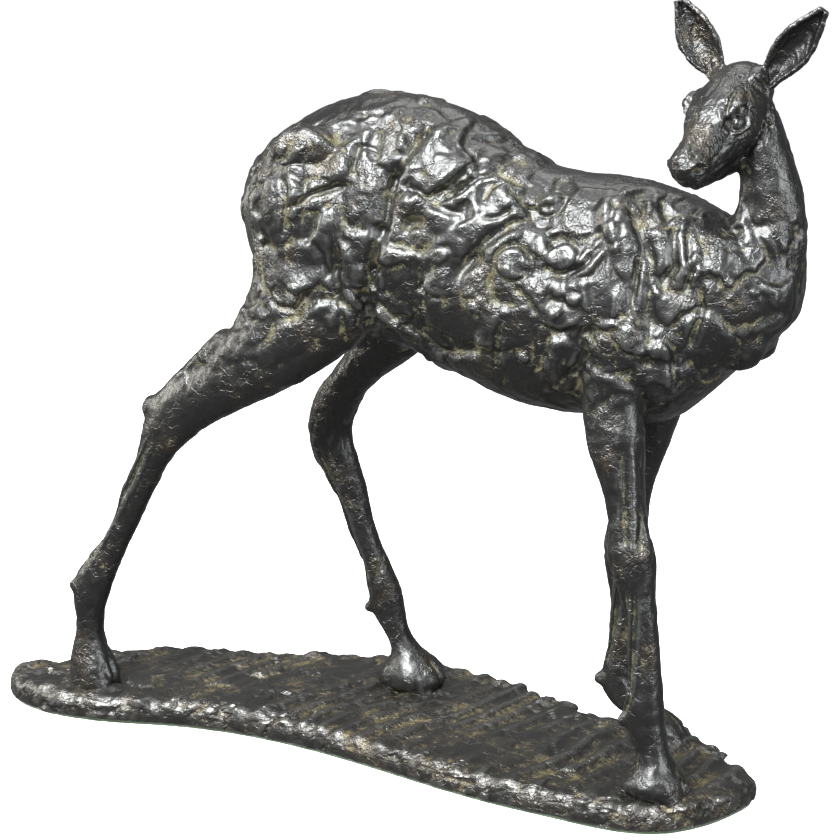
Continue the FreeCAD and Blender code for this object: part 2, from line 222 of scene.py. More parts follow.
# %% [markdown]
# ## The head in clay
#
# The head is turned right back and dropped, so its pellets are given in its own directions: along the
# face from skull to nose, to the doe's left, and up out of the forehead. A doe's head is a wedge: a round
# skull, a long straight nose that narrows, deep cheeks, a slim jaw, and eyes that stand out at the sides
# under strong brows.

# %% Press the head's pellets on
SKULL = Vector((181, -15, 327))
FACE_TURN = Matrix.Rotation(math.radians(-108), 3, "Z") @ Matrix.Rotation(math.radians(37), 3, "Y") \
    @ Matrix.Rotation(math.radians(4), 3, "X")
FORWARD, LEFTWARD, UPWARD = (FACE_TURN.col[axis].copy() for axis in range(3))


def on_head(along, left, up):
    """A place on the head, in mm, from its own three directions."""
    return SKULL + FACE_TURN @ Vector((along, left, up))


def head_pellet(bm, place, radii, lean=(1, 0, 0)):
    pellet(bm, on_head(*place), radii, FACE_TURN @ Vector(lean), UPWARD)


# Place as along, left, up; radii in the same order; the way its length leans.
HEAD_PELLETS = [
    ((-1, 0, 0), (15.5, 14.2, 13.5), (1, 0, 0)),
    ((11, 0, 4), (13, 12.5, 9), (1, 0, -0.1)),
    ((22, 0, 2.5), (12, 9.5, 8.5), (1, 0, -0.15)),
    ((33, 0, 1.5), (13, 7.4, 7.6), (1, 0, -0.06)),
    ((42, 0, 0.6), (10, 6.6, 6.8), (1, 0, 0)),
    ((47.5, 0, 0.4), (5.4, 6.4, 6.0), (1, 0, 0)),
    ((12, 0, -9), (14, 8.5, 8), (1, 0, 0.1)),
    ((22, 0, -14.5), (11, 7.0, 8.5), (1, 0, 0.3)),
    ((29, 0, -12.5), (11, 6.2, 7.6), (1, 0, 0.35)),
    ((37, 0, -10.5), (8.5, 5.2, 5.6), (1, 0, 0.3)),
    ((43.5, 0, -9.0), (5.0, 4.4, 4.2), (1, 0, 0.2)),
]


def press_head(bm, fine):
    """Everything of the head but its ears. Only the fine head has eyeballs."""
    for place, radii, lean in HEAD_PELLETS:
        head_pellet(bm, place, radii, lean)
    for side in (RIGHT, LEFT):
        head_pellet(bm, (9, side * 9, -6), (12, 6.0, 9.5), (1, -0.22 * side, 0.1))
        head_pellet(bm, (20, side * 6.5, -8), (11, 4.0, 7.0), (1, -0.2 * side, 0.3))
        head_pellet(bm, (15, side * 11.0, 8.0), (8.5, 3.8, 3.4), (1, 0.05 * side, -0.25))
        head_pellet(bm, (17, side * 11.2, 0.4), (7.5, 2.6, 2.4), (1, -0.25 * side, -0.25))
        head_pellet(bm, (-4, side * 9.2, 6.2), (7, 5.4, 5.2))
        head_pellet(bm, (48, side * 4.2, -0.2), (4.0, 2.6, 4.4), (1, -0.2 * side, -0.3))
        if fine:
            head_pellet(bm, (19.6, side * 10.9, 3.4), (4.6, 3.2, 3.8))


press_head(body, fine=False)
LEGS = ("right_foreleg", "left_foreleg", "right_hind_leg", "left_hind_leg")
PINS = ("core_plugs", "leg_joint_pins", "neck_joint_pins", "head_joint_pins")
for node in ("barrel_casting", "neck_casting", "head_casting", *LEGS, *PINS):
    add_casting(body, node)
print("clay and core together:", len(body.verts), "points")

# %% [markdown]
# ## One skin over everything
#
# Pressed together, the pellets are still separate balls. A voxel remesh wraps one even skin over all of
# them, which is what the sculptor's thumb does. A mesh of about a millimetre is as fine as the clay's own
# marks are, and finer grain comes from the material. The hollow inside the castings isn't wanted, so only
# the outermost skin is kept.

# %% Wrap and smooth
def wrapped(bm, voxel, rounds, name):
    """One even skin round the clay, smoothed a little, as a new mesh. Only the largest shell stays."""
    mesh = bpy.data.meshes.new(name)
    bm.to_mesh(mesh)
    bm.free()
    lump = new_object(name, mesh)
    remesh = lump.modifiers.new("skin", "REMESH")
    remesh.mode = "VOXEL"
    remesh.voxel_size = voxel * MM
    smooth = lump.modifiers.new("thumb", "SMOOTH")
    smooth.factor = 0.5
    smooth.iterations = rounds
    evaluated = lump.evaluated_get(bpy.context.evaluated_depsgraph_get())
    skin = bpy.data.meshes.new_from_object(evaluated)
    bpy.data.objects.remove(lump)
    bpy.data.meshes.remove(mesh)
    skin.name = name
    keep_largest(skin)
    return skin


def shells(bm):
    """The separate connected parts of a mesh, as lists of faces."""
    left = set(bm.faces)
    found = []
    while left:
        front = [left.pop()]
        shell = list(front)
        while front:
            face = front.pop()
            for edge in face.edges:
                for other in edge.link_faces:
                    if other in left:
                        left.remove(other)
                        front.append(other)
                        shell.append(other)
        found.append(shell)
    return sorted(found, key=len, reverse=True)


def keep_largest(mesh):
    """Removes every shell but the one with the most faces."""
    bm = bmesh.new()
    bm.from_mesh(mesh)
    extra = [face for shell in shells(bm)[1:] for face in shell]
    if extra:
        bmesh.ops.delete(bm, geom=extra, context="FACES")
    bm.to_mesh(mesh)
    bm.free()


BODY_VOXEL = 1.18
body_skin = wrapped(body, BODY_VOXEL, 6, "body_skin")
print("body skin:", len(body_skin.vertices), "points")

# %% [markdown]
# ## Clay that can be worked
#
# From here the skin is worked as a sculptor works it: every mark pushes the surface in or out along its
# own normal. A class keeps the points of one skin as a numpy array together with a relief, which is how
# far each point has been pushed so far, in millimetres. Marks only change the relief, and at the end it
# is applied in one go.

# %% The skin as arrays
def noise(points, size, seed):
    """Smooth random values from about -1 to 1 that change over a distance of size, at points in mm."""
    grid = points / size + seed * 17.31
    cell = np.floor(grid).astype(np.int64)
    part = grid - cell
    blend = part * part * (3 - 2 * part)
    total = np.zeros(len(points))
    for corner in range(8):
        step = np.array([corner & 1, corner >> 1 & 1, corner >> 2 & 1])
        key = (cell + step) @ np.array([73856093, 19349663, 83492791]) + seed * 2654435
        key = (key ^ (key >> 13)) * 1274126177 & 0xFFFFFFF
        value = (key ^ (key >> 9)) % 20011 / 10005.0 - 1
        weight = np.prod(np.where(step == 1, blend, 1 - blend), axis=1)
        total += value * weight
    return total


def ramp(value, start, spread):
    """0 up to the start, then a straight rise to 1 over the spread."""
    return np.clip((value - start) / spread, 0, 1)


class Clay:
    """One skin while it is being worked. All lengths are in mm."""

    def __init__(self, mesh):
        self.mesh = mesh
        count = len(mesh.vertices)
        points = np.empty(count * 3)
        mesh.vertices.foreach_get("co", points)
        self.points = points.reshape(-1, 3) / MM
        normals = np.empty(count * 3)
        mesh.vertex_normals.foreach_get("vector", normals)
        self.normals = normals.reshape(-1, 3)
        edges = np.empty(len(mesh.edges) * 2, dtype=np.int64)
        mesh.edges.foreach_get("vertices", edges)
        self.edges = edges.reshape(-1, 2)
        self.joined = np.bincount(self.edges.ravel(), minlength=count)
        self.relief = np.zeros(count)

    def evened(self, values, rounds):
        """The values after each point has taken its neighbours' mean that many times."""
        a, b = self.edges.T
        count = len(values)
        for _ in range(rounds):
            total = np.bincount(a, values[b], count) + np.bincount(b, values[a], count)
            values = 0.4 * values + 0.6 * total / self.joined
        return values

    def near(self, centre, reach):
        """The points within reach of a centre."""
        return np.nonzero(((self.points - centre) ** 2).sum(axis=1) < reach * reach)[0]

    def apply(self):
        """Moves the points by the relief and writes how sunken each one then is as an attribute."""
        moved = self.points + self.normals * self.relief[:, None]
        deep = self.evened(self.relief, 14) - self.relief
        self.mesh.vertices.foreach_set("co", (moved * MM).ravel())
        around = np.stack([self.evened(moved[:, axis], 5) for axis in range(3)], axis=1)
        bend = ((around - moved) * self.normals).sum(axis=1)
        hollow = self.mesh.attributes.new("hollow", "FLOAT", "POINT")
        hollow.data.foreach_set("value", np.clip(self.evened(deep * 0.34 + bend * 0.9, 1), -1, 1))
        self.mesh.update()
        lowest, highest = round(self.relief.min(), 1), round(self.relief.max(), 1)
        print(self.mesh.name, "relief from", lowest, "to", highest, "mm")


# %% [markdown]
# ## Tool marks
#
# A palette knife leaves three kinds of mark: a slab whose front edge stands proud and whose back melts
# into the surface, a crack or groove, and a flat where the clay was scraped. Thumbs leave hollows and
# pressed bosses. Each mark is drawn on a small flat sheet that is laid on the skin: s runs along the
# sheet, and t across it.

# %% The marks
def sheet_at(clay, centre, along, out, reach):
    """The points under a flat sheet laid at a centre: numbers, s, t, and how squarely each faces it."""
    out = np.array(out, dtype=float)
    out /= np.linalg.norm(out)
    s_axis = np.array(along, dtype=float)
    s_axis -= out * (s_axis @ out)
    s_axis /= np.linalg.norm(s_axis)
    t_axis = np.cross(out, s_axis)
    who = clay.near(centre, reach)
    from_centre = clay.points[who] - centre
    facing = ramp(clay.normals[who] @ out, 0.15, 0.35)
    return who, from_centre @ s_axis, from_centre @ t_axis, facing


def line_distance(s, t, line):
    """How far each point is from a bent line, on which side of it, and how far along it."""
    best = np.full(len(s), 1e9)
    side = np.zeros(len(s))
    along = np.zeros(len(s))
    lengths = [math.dist(a, b) for a, b in zip(line, line[1:])]
    run = 0.0
    for (s0, t0), (s1, t1), length in zip(line, line[1:], lengths):
        ds, dt = (s1 - s0) / length, (t1 - t0) / length
        share = np.clip((s - s0) * ds + (t - t0) * dt, 0, length)
        across_s, across_t = s - s0 - share * ds, t - t0 - share * dt
        distance = np.hypot(across_s, across_t)
        closer = distance < best
        best = np.where(closer, distance, best)
        side = np.where(closer, np.sign(ds * (t - t0) - dt * (s - s0)), side)
        along = np.where(closer, run + share, along)
        run += length
    return best, side, along / run


def groove(clay, sheet, line, width, depth):
    """A line pressed in, or raised where depth is negative, that thins out at both ends."""
    who, s, t, facing = sheet
    distance, _, along = line_distance(s, t, line)
    ends = np.clip(4.5 * np.minimum(along, 1 - along) + 0.15, 0, 1)
    clay.relief[who] -= depth * ends * facing * np.exp(-(distance / width) ** 2)


def ledge(clay, sheet, line, height, reach, side=1, lip=0.8):
    """The front edge of a slab: proud on one side, melting away over its reach, and sheer at the line."""
    who, s, t, facing = sheet
    distance, where, along = line_distance(s, t, line)
    ends = np.clip(3.5 * np.minimum(along, 1 - along) + 0.05, 0, 1)
    signed = distance * where * side
    behind = np.minimum(-signed / (0.35 * lip), 600)     # a larger power would overflow
    proud = height * np.exp(-np.maximum(signed, 0) / reach) / (1 + np.exp(behind))
    under = -0.55 * height * np.exp(-((signed + 1.3 * lip) / (1.6 * lip)) ** 2)
    clay.relief[who] += (proud + under) * ends * facing


def from_middle(sheet, middle, tilt):
    """Offsets from a mark's middle: first along the sheet's own ways, then along and across the mark."""
    ds, dt = sheet[1] - middle[0], sheet[2] - middle[1]
    c, si = math.cos(math.radians(tilt)), math.sin(math.radians(tilt))
    return ds, dt, ds * c + dt * si, dt * c - ds * si


def dome(clay, sheet, middle, radii, tilt, height, rim=0.0):
    """A pressed boss, or a thumb's hollow where height is negative, with a groove round it of depth rim."""
    who, facing = sheet[0], sheet[3]
    _, _, along, across = from_middle(sheet, middle, tilt)
    far = np.hypot(along / radii[0], across / radii[1])
    clay.relief[who] += facing * height * np.sqrt(np.clip(1 - far ** 2, 0, 1))
    clay.relief[who] -= facing * rim * np.exp(-((far - 1.05) / 0.13) ** 2)


def flat(clay, sheet, middle, radii, tilt, height, lean=(0, 0), keep=0.15):
    """A scraped plane: inside an oval, the relief becomes a leaning plane, with a little of the old left."""
    who, facing = sheet[0], sheet[3]
    ds, dt, along, across = from_middle(sheet, middle, tilt)
    far = np.hypot(along / radii[0], across / radii[1])
    inside = facing * np.clip((1 - far) / 0.22, 0, 1)
    plane = height + lean[0] * ds + lean[1] * dt
    clay.relief[who] += inside * (1 - keep) * (plane - clay.relief[who])


def hatch(clay, sheet, middle, radius, tilt, spacing, depth):
    """A patch of parallel scratches from a toothed tool."""
    who, facing = sheet[0], sheet[3]
    ds, dt, along, across = from_middle(sheet, middle, tilt)
    across = across + 0.5 * np.sin(along / 3.1)
    fade = np.clip(1.5 - 1.5 * np.hypot(ds, dt) / radius, 0, 1)
    clay.relief[who] += facing * fade * depth * np.sin(across * 2 * math.pi / spacing)


# %% [markdown]
# ## Working the whole skin
#
# Before the marks that give this figure its character, the whole skin gets the restless surface of worked
# clay. Random seeds are scattered over it, and each owns the clay that is nearest to it, as a pressed
# pellet would. Every pellet gets its own height and lean, so its edge against the next one is a step or a
# crease. The borders wander because the distances are measured from places that are shifted by a little
# noise.

# %% Pressed pellets of clay
MOST_TRIES = 60000       # how many points of a skin are tried as seeds


def pressed_pellets(clay, spacing, height, lean, crack, pillow, seed, wander=0.35, amount=None):
    """Facets over the whole skin: each pellet bulges, leans its own way and meets the next in a step."""
    rng = np.random.default_rng(seed)
    seeds = []
    taken = set()
    for k in rng.permutation(len(clay.points))[:MOST_TRIES]:
        cell = tuple((clay.points[k] // spacing).astype(int))
        if cell not in taken:
            taken.add(cell)
            seeds.append(k)
    places = clay.points[seeds]
    finder = kdtree.KDTree(len(seeds))
    for number, place in enumerate(places):
        finder.insert(place, number)
    finder.balance()
    shifted = clay.points + spacing * wander * np.stack(
        [noise(clay.points, spacing * 0.6, seed + axis) for axis in range(3)], axis=1)
    pairs = [finder.find_n(place, 2) for place in shifted]
    nearest = np.array([pair[0][1] for pair in pairs])
    gap = np.array([pair[1][2] - pair[0][2] for pair in pairs])
    heights = rng.uniform(-1, 1, len(seeds)) * height
    leans = rng.normal(0, lean, (len(seeds), 3))
    own = heights[nearest] + ((clay.points - places[nearest]) * leans[nearest]).sum(axis=1)
    own += pillow * (1 - np.exp(-gap / (0.22 * spacing))) - 0.6 * pillow
    own -= crack * np.exp(-(gap / (0.5 + 0.035 * spacing)) ** 2)
    clay.relief += own if amount is None else own * amount
    return len(seeds)


body_clay = Clay(body_skin)
points = body_clay.points

# The trunk is worked boldly, the slender legs and the neck finely.
leg_share = np.clip((205 - points[:, 2]) / 25, 0, 1)
neck_share = ramp(points[:, 2], 268, 20) * (points[:, 0] > 170)
trunk_share = 1 - np.maximum(leg_share, neck_share)
# Back, belly and breast were stroked smooth, and the sides were left rough.
sideways = ramp(np.abs(body_clay.normals[:, 1]), 0.25, 0.45)
bold = trunk_share * (0.12 + 0.88 * sideways)

coarse = 0.10 + 0.90 * bold
medium = np.clip(0.16 + 0.84 * bold * (0.7 + noise(points, 40, 3)), 0, 1)
small = 0.2 + 0.8 * np.clip(0.2 + 1.2 * noise(points, 24, 8), 0, 1) * (0.3 + 0.7 * trunk_share)
found = pressed_pellets(body_clay, spacing=25.0, height=1.6, lean=0.07, crack=0.25, pillow=0.7,
                        seed=5, amount=coarse)
found += pressed_pellets(body_clay, spacing=12.0, height=0.6, lean=0.09, crack=0.2, pillow=0.45,
                         seed=9, wander=0.5, amount=medium)
found += pressed_pellets(body_clay, spacing=5.0, height=0.14, lean=0.07, crack=0.10, pillow=0.14,
                         seed=12, wander=0.6, amount=small)
body_clay.relief = body_clay.evened(body_clay.relief, 2)
print("pressed pellets:", found)

# %% [markdown]
# ## The marks on the right flank
#
# The side that is seen most has the strongest marks, and they make the figure's character: a deep cleft
# between thigh and belly, overlapping slabs that run from the loin to the shoulder, pressed bosses with a
# groove round them, and long smooth bands down the shoulder. Places here are the doe's own: forward, and
# up from the ground.

# %% Mark the right flank
def flank_sheet(clay, side, where):
    """The points of one side of the figure, as (forward, up) places."""
    facing = ramp(clay.normals[:, 1] * side, 0.05, 0.3)
    who = np.nonzero((facing > 0) & where)[0]
    return who, clay.points[who, 0], clay.points[who, 2], facing[who]


outer_right = (points[:, 1] < SPINE) & (points[:, 2] > 175)
flank = flank_sheet(body_clay, RIGHT, outer_right)

# Scraped planes: middle, half lengths, tilt, height, lean.
PLANES = [
    ((-29, 268), (9, 19), 10, 1.2, (0.05, 0.02)),
    ((-4, 292), (13, 8), -12, 0.9, (0.02, 0.05)),
    ((13, 283), (6, 19), -8, -0.9, (0.03, 0.0)),
    ((22, 302), (8, 11), 15, -0.6, (0.04, 0.0)),
    ((56, 290), (14, 7), -20, 0.9, (0.0, 0.05)),
    ((74, 264), (20, 9), 18, 0.8, (-0.01, 0.05)),
    ((113, 257), (8, 6), 20, 0.9, (0.0, 0.03)),
    ((121, 277), (13, 12), 30, 0.8, (0.02, 0.03)),
    ((148, 252), (7, 34), 14, -0.7, (0.02, 0.0)),
    ((132, 246), (6, 22), 8, 0.9, (0.03, 0.0)),
    ((171, 268), (8, 14), -10, 0.5, (0.03, 0.0)),
    ((-16, 244), (14, 12), 20, 0.7, (0.0, -0.03)),
    ((60, 226), (19, 12), -10, 0.5, (0.0, 0.03)),
    ((98, 226), (14, 10), 12, 0.6, (0.0, 0.03)),
    ((-52, 250), (8, 16), -20, 0.5, (0.03, 0.0)),
    ((178, 226), (10, 12), 20, 0.5, (0.02, 0.02)),
]
for middle, radii, tilt, height, lean in PLANES:
    flat(body_clay, flank, middle, radii, tilt, height, lean)

# Clefts and cracks: the line, its width and its depth.
GROOVES = [
    ([(29, 296), (27, 281), (26, 267), (21, 252), (17, 239), (12, 214)], 3.4, 4.0),
    ([(4, 262), (2, 243), (5, 218), (3, 206)], 2.2, 1.8),
    ([(42, 311), (38, 303), (33, 295), (29, 285)], 2.6, 3.0),
    ([(-23, 286), (-21, 272), (-23, 256)], 1.6, 2.0),
    ([(-41, 279), (-33, 291), (-23, 294), (-18, 301)], 1.3, 1.5),
    ([(-47, 262), (-40, 248), (-38, 230)], 1.4, 1.3),
    ([(63, 243), (71, 255), (80, 264), (88, 270), (98, 275)], 2.6, 2.6),
    ([(74, 271), (82, 272), (89, 277), (97, 277)], 1.1, 1.3),
    ([(45, 250), (46, 236), (46, 225)], 1.6, 1.6),
    ([(160, 276), (163, 256), (157, 246)], 2.4, 2.8),
    ([(149, 262), (145, 247), (141, 232)], 1.8, 2.2),
    ([(104, 251), (114, 250), (123, 253)], 2.6, 1.9),
    ([(107, 240), (113, 237), (118, 239)], 2.2, 1.6),
    ([(86, 226), (83, 214), (80, 202)], 1.6, 1.6),
    ([(125, 216), (121, 208), (115, 201)], 1.6, 1.7),
    ([(137, 290), (145, 275), (153, 257), (155, 225), (152, 205)], 2.4, 1.7),
    ([(174, 252), (176, 236), (170, 218)], 1.7, 1.7),
    ([(58, 282), (62, 284), (67, 290)], 2.8, 2.2),
    ([(35, 262), (40, 268), (48, 268)], 2.6, 1.8),
    ([(-10, 258), (-4, 250), (-2, 238)], 1.4, 1.4),
    ([(90, 243), (99, 238), (104, 230)], 1.5, 1.4),
    ([(20, 228), (28, 222), (38, 222)], 1.7, 1.6),
    ([(127, 294), (119, 290), (108, 291)], 1.4, 1.4),
    ([(-58, 268), (-56, 250), (-60, 232)], 1.5, 1.5),
]
WIDER, DEEPER = 1.15, 1.25   # how much broader and deeper than listed the clefts are pressed
for line, width, depth in GROOVES:
    groove(body_clay, flank, line, width * WIDER, depth * DEEPER)

# Slab edges: the line, how proud it stands, how far it takes to melt away, and which side of the line it
# is on.
LEDGES = [
    ([(-19, 273), (-9, 279), (1, 283), (10, 284)], 1.9, 6, 1),
    ([(9, 305), (8, 299), (7, 293), (9, 284)], 1.5, 4, -1),
    ([(66, 297), (62, 292), (57, 287), (46, 279)], 2.6, 8, -1),
    ([(50, 275), (62, 281), (70, 288), (77, 289), (86, 285), (97, 284)], 2.0, 7, -1),
    ([(34, 283), (41, 281), (48, 277)], 1.6, 5, -1),
    ([(112, 250), (123, 255), (131, 266)], 1.5, 4, 1),
    ([(116, 248), (127, 251), (134, 262)], 1.2, 3, 1),
    ([(147, 260), (146, 247), (143, 233)], 1.9, 3.5, -1),
    ([(164, 273), (169, 253), (166, 243)], 1.9, 4, -1),
    ([(-36, 236), (-28, 226), (-19, 225), (-9, 237)], 2.0, 4, 1),
    ([(-23, 236), (-17, 231), (-11, 234)], 1.2, 3, 1),
    ([(103, 229), (114, 225), (125, 230)], 1.6, 5, 1),
    ([(-44, 290), (-34, 300), (-20, 305)], 1.3, 5, -1),
    ([(60, 306), (76, 303), (92, 303)], 1.5, 6, 1),
    ([(100, 298), (116, 300), (130, 298)], 1.3, 6, 1),
    ([(42, 243), (52, 236), (64, 236)], 1.3, 5, 1),
    ([(66, 216), (80, 212), (92, 214)], 1.2, 5, 1),
    ([(8, 236), (14, 228), (16, 218)], 1.4, 4, -1),
    ([(137, 226), (146, 218), (158, 216)], 1.4, 5, 1),
    ([(161, 228), (167, 236), (176, 240)], 1.2, 4, 1),
]
TALLER, LONGER = 1.4, 1.3    # the same for the height and the reach of the slab edges
for line, height, reach, side in LEDGES:
    ledge(body_clay, flank, line, height * TALLER, reach * LONGER, side, lip=1.0)

# Bosses and thumb hollows: middle, half lengths, tilt, height, depth of the groove round it.
DOMES = [
    ((91, 253), (8.0, 7.4), 0, 3.0, 1.2),
    ((103, 279), (5.5, 4.6), 20, 1.5, 1.0),
    ((91, 265), (3.6, 2.2), 15, 1.0, 0.5),
    ((38, 277), (4.6, 4.2), 0, 1.5, 0.6),
    ((41, 268), (6.5, 4.0), 10, -1.4, 0.0),
    ((18, 301), (5.0, 7.5), 10, -2.0, 0.0),
    ((29, 285), (3.4, 4.2), 0, -2.6, 0.0),
    ((-33, 274), (5.5, 12), 4, 1.2, 0.0),
    ((96, 211), (3.4, 2.8), 10, 1.2, 0.9),
    ((-17, 234), (4.2, 3.0), 10, 1.0, 0.7),
    ((60, 283), (6.0, 3.2), 35, -1.6, 0.0),
    ((134, 270), (4.2, 6.0), 30, 0.9, 0.4),
    ((171, 256), (4.0, 6.5), -10, 1.2, 0.4),
    ((-48, 288), (5.0, 3.4), 40, 1.1, 0.5),
    ((56, 254), (5.2, 3.6), 25, 0.9, 0.5),
    ((-2, 226), (4.2, 5.5), 0, -1.0, 0.0),
    ((120, 239), (4.0, 2.8), 20, 1.1, 0.6),
    ((73, 232), (4.4, 3.2), -20, 0.9, 0.6),
    ((156, 286), (5.2, 4.0), -30, 0.9, 0.5),
]
for middle, radii, tilt, height, rim in DOMES:
    dome(body_clay, flank, middle, radii, tilt, height, rim)

# Patches scratched with a toothed tool: middle, radius, tilt, spacing of the teeth.
HATCHES = [
    ((178, 247), 15, 58, 2.3),
    ((121, 279), 12, 70, 2.4),
    ((70, 214), 18, 82, 2.5),
    ((-30, 268), 10, 64, 2.4),
    ((110, 214), 14, 78, 2.5),
    ((152, 236), 12, 86, 2.6),
    ((76, 262), 12, 30, 2.4),
    ((6, 262), 12, 80, 2.5),
]
SCRATCH_DEPTH = 0.16
for middle, radius, tilt, spacing in HATCHES:
    hatch(body_clay, flank, middle, radius, tilt, spacing, SCRATCH_DEPTH)
print("marks on the right flank:", sum(map(len, (PLANES, GROOVES, LEDGES, DOMES, HATCHES))))

# %% [markdown]
# ## Strokes everywhere else
#
# The far flank, the back and the legs get the same kinds of mark by a seeded hand. On the trunk they are
# ledges and short clefts that mostly lean forward. On the legs they run down the limb: two long ridges,
# each with a groove beside it, on both sides of the cannon bone, and small knife marks.

# %% Random strokes
def strokes(clay, where, count, length, height, seed, lean, way):
    """Seeded ledges and grooves over the part of the skin that where picks out, leaning round one way."""
    rng = np.random.default_rng(seed)
    for k in rng.choice(np.nonzero(where)[0], count):
        centre, out = clay.points[k], clay.normals[k]
        turn = np.array(way) + rng.normal(0, lean, 3)
        if np.linalg.norm(np.cross(out, turn)) < 0.3:
            continue
        size = length * rng.uniform(0.6, 1.5)
        sheet = sheet_at(clay, centre, turn, out, size)
        rise = rng.uniform(-0.25, 0.25) * size
        line = [(-0.6 * size, -rise), (0, rise), (0.6 * size, -rise * rng.uniform(0, 1))]
        tall = height * rng.uniform(0.5, 1.3)
        if rng.random() < 0.6:
            ledge(clay, sheet, line, tall, 0.35 * size, rng.choice((-1, 1)))
        else:
            groove(clay, sheet, line, rng.uniform(0.9, 1.5), tall)


on_trunk = (points[:, 2] > 200) & (points[:, 0] < 188)
# Where, how many, their length and height, the seed, how far they stray from their way, and that way.
STROKES = [
    (on_trunk & (points[:, 1] > SPINE), 70, 19, 1.7, 21, 0.5, (0.7, 0, 0.7)),
    (on_trunk & (points[:, 1] <= SPINE), 40, 8, 0.6, 22, 0.6, (0.6, 0, 0.8)),
    ((points[:, 0] > 168) & (points[:, 2] > 240), 34, 14, 0.7, 23, 0.3, (-0.2, 0, 1.0)),
    (points[:, 2] < 200, 80, 14, 0.6, 24, 0.12, (0.1, 0, 1.0)),
    (np.full(len(points), True), 260, 4.5, 0.26, 25, 0.8, (0.3, 0, 1.0)),
    (points[:, 2] < 36, 60, 8, 0.7, 26, 0.3, (0.8, -0.2, 0.3)),
]
for row in STROKES:
    strokes(body_clay, *row)

# Long ridges and grooves down the cannon bones and one forearm: the two ends, and the half width there.
CANNONS = [
    ((151, -44, 112), (150, -46, 56), 7.0),
    ((124, 11, 100), (116, 12, 46), 7.0),
    ((-105, -42, 150), (-149, -44, 76), 7.5),
    ((-44, 18, 138), (-16, 22, 62), 7.5),
    ((148, -42, 176), (152, -44, 126), 11.0),
]
# Across the limb, as a share of the half width: where each line is, its depth (raised if negative) and
# its width.
TENDONS = [(-0.34, 1.5, 1.5), (-0.05, -0.9, 1.5), (0.22, 1.4, 1.3), (0.5, -0.9, 1.6)]
for top, foot, half in CANNONS:
    top, foot = np.array(top, float), np.array(foot, float)
    down = foot - top
    long = np.linalg.norm(down)
    for side in (RIGHT, LEFT):
        place = (top + foot) / 2 + np.array([0, side * half * 0.6, 0])
        sheet = sheet_at(body_clay, place, down, (0, side, 0), 0.62 * long)
        for offset, depth, width in TENDONS:
            bow = offset * half
            line = [(-0.5 * long, bow), (0, bow * 1.3), (0.5 * long, bow)]
            groove(body_clay, sheet, line, width, depth)

# The slit between the claws of each hoof.
for (x, y), toe, height in HOOVES:
    place = (x + 9 * toe[0], y + 9 * toe[1], height + 8)
    sheet = sheet_at(body_clay, place, (0, 0, 1), (toe[0], toe[1], 0.5), 14)
    groove(body_clay, sheet, [(-12, 0), (0, 0), (9, 0)], 1.1, 1.6)

# Fine wrinkles, and calm close to the cut through the throat, where the head's own skin takes over.
THROAT, THROAT_WAY = Vector((184.5, -14, 308.5)), Vector((-0.184, -0.567, 0.802))


def by_throat(clay, width):
    """1 on the plane of the cut through the throat, falling away over a width in mm."""
    gap = (clay.points - np.array(THROAT)) @ np.array(THROAT_WAY)
    return np.exp(-(gap / width) ** 2)


body_clay.relief += 0.16 * noise(points, 3.2, 31) + 0.10 * noise(points, 1.9, 32)
body_clay.relief *= 1 - by_throat(body_clay, 4.0) * (points[:, 2] > 285)
body_clay.apply()

# %% [markdown]
# ## Cutting the skin into castings
#
# The foundry cuts the wax figure where the joints will be: through the throat, the root of the neck, and
# each limb where it leaves the body. The cuts here are at those joints, or within a few millimetres of
# them where the skin parts more cleanly. Only the faces near a joint are cut, and only a cut that runs
# all the way round is opened. Both sides of it are then closed with a flat face.

# %% Cut and close
SHORTEST_RIM = 20        # edges in a loop that is still a whole cut
SMALLEST_PART = 200      # faces in a shell that is still a part, and not a crumb


def cut_through(bm, centre, way, reach):
    """Cuts a limb off at a plane. Nothing further than reach, in mm, from the centre is touched."""
    centre = Vector(centre) * MM
    faces = [f for f in bm.faces if (f.calc_center_median() - centre).length < reach * MM]
    edges = {e for f in faces for e in f.edges}
    verts = {v for f in faces for v in f.verts}
    result = bmesh.ops.bisect_plane(bm, geom=list(verts) + list(edges) + faces, dist=0.0001 * MM,
                                    plane_co=centre, plane_no=Vector(way))
    cut = {g for g in result["geom_cut"] if isinstance(g, bmesh.types.BMEdge)}
    opened = 0
    while cut:
        loop, front = set(), [cut.pop()]
        while front:
            edge = front.pop()
            loop.add(edge)
            for vert in edge.verts:
                for other in vert.link_edges:
                    if other in cut:
                        cut.remove(other)
                        front.append(other)
        touched = {}
        for edge in loop:
            for vert in edge.verts:
                touched[vert] = touched.get(vert, 0) + 1
        if len(loop) > SHORTEST_RIM and all(times >= 2 for times in touched.values()):
            bmesh.ops.split_edges(bm, edges=list(loop))
            opened += 1
    return opened


def closed(bm):
    """Closes every opening with flat faces, which meet the skin in a sharp edge."""
    rims = [e for e in bm.edges if e.is_boundary]
    if rims:
        for face in bmesh.ops.holes_fill(bm, edges=rims, sides=0)["faces"]:
            face.smooth = False


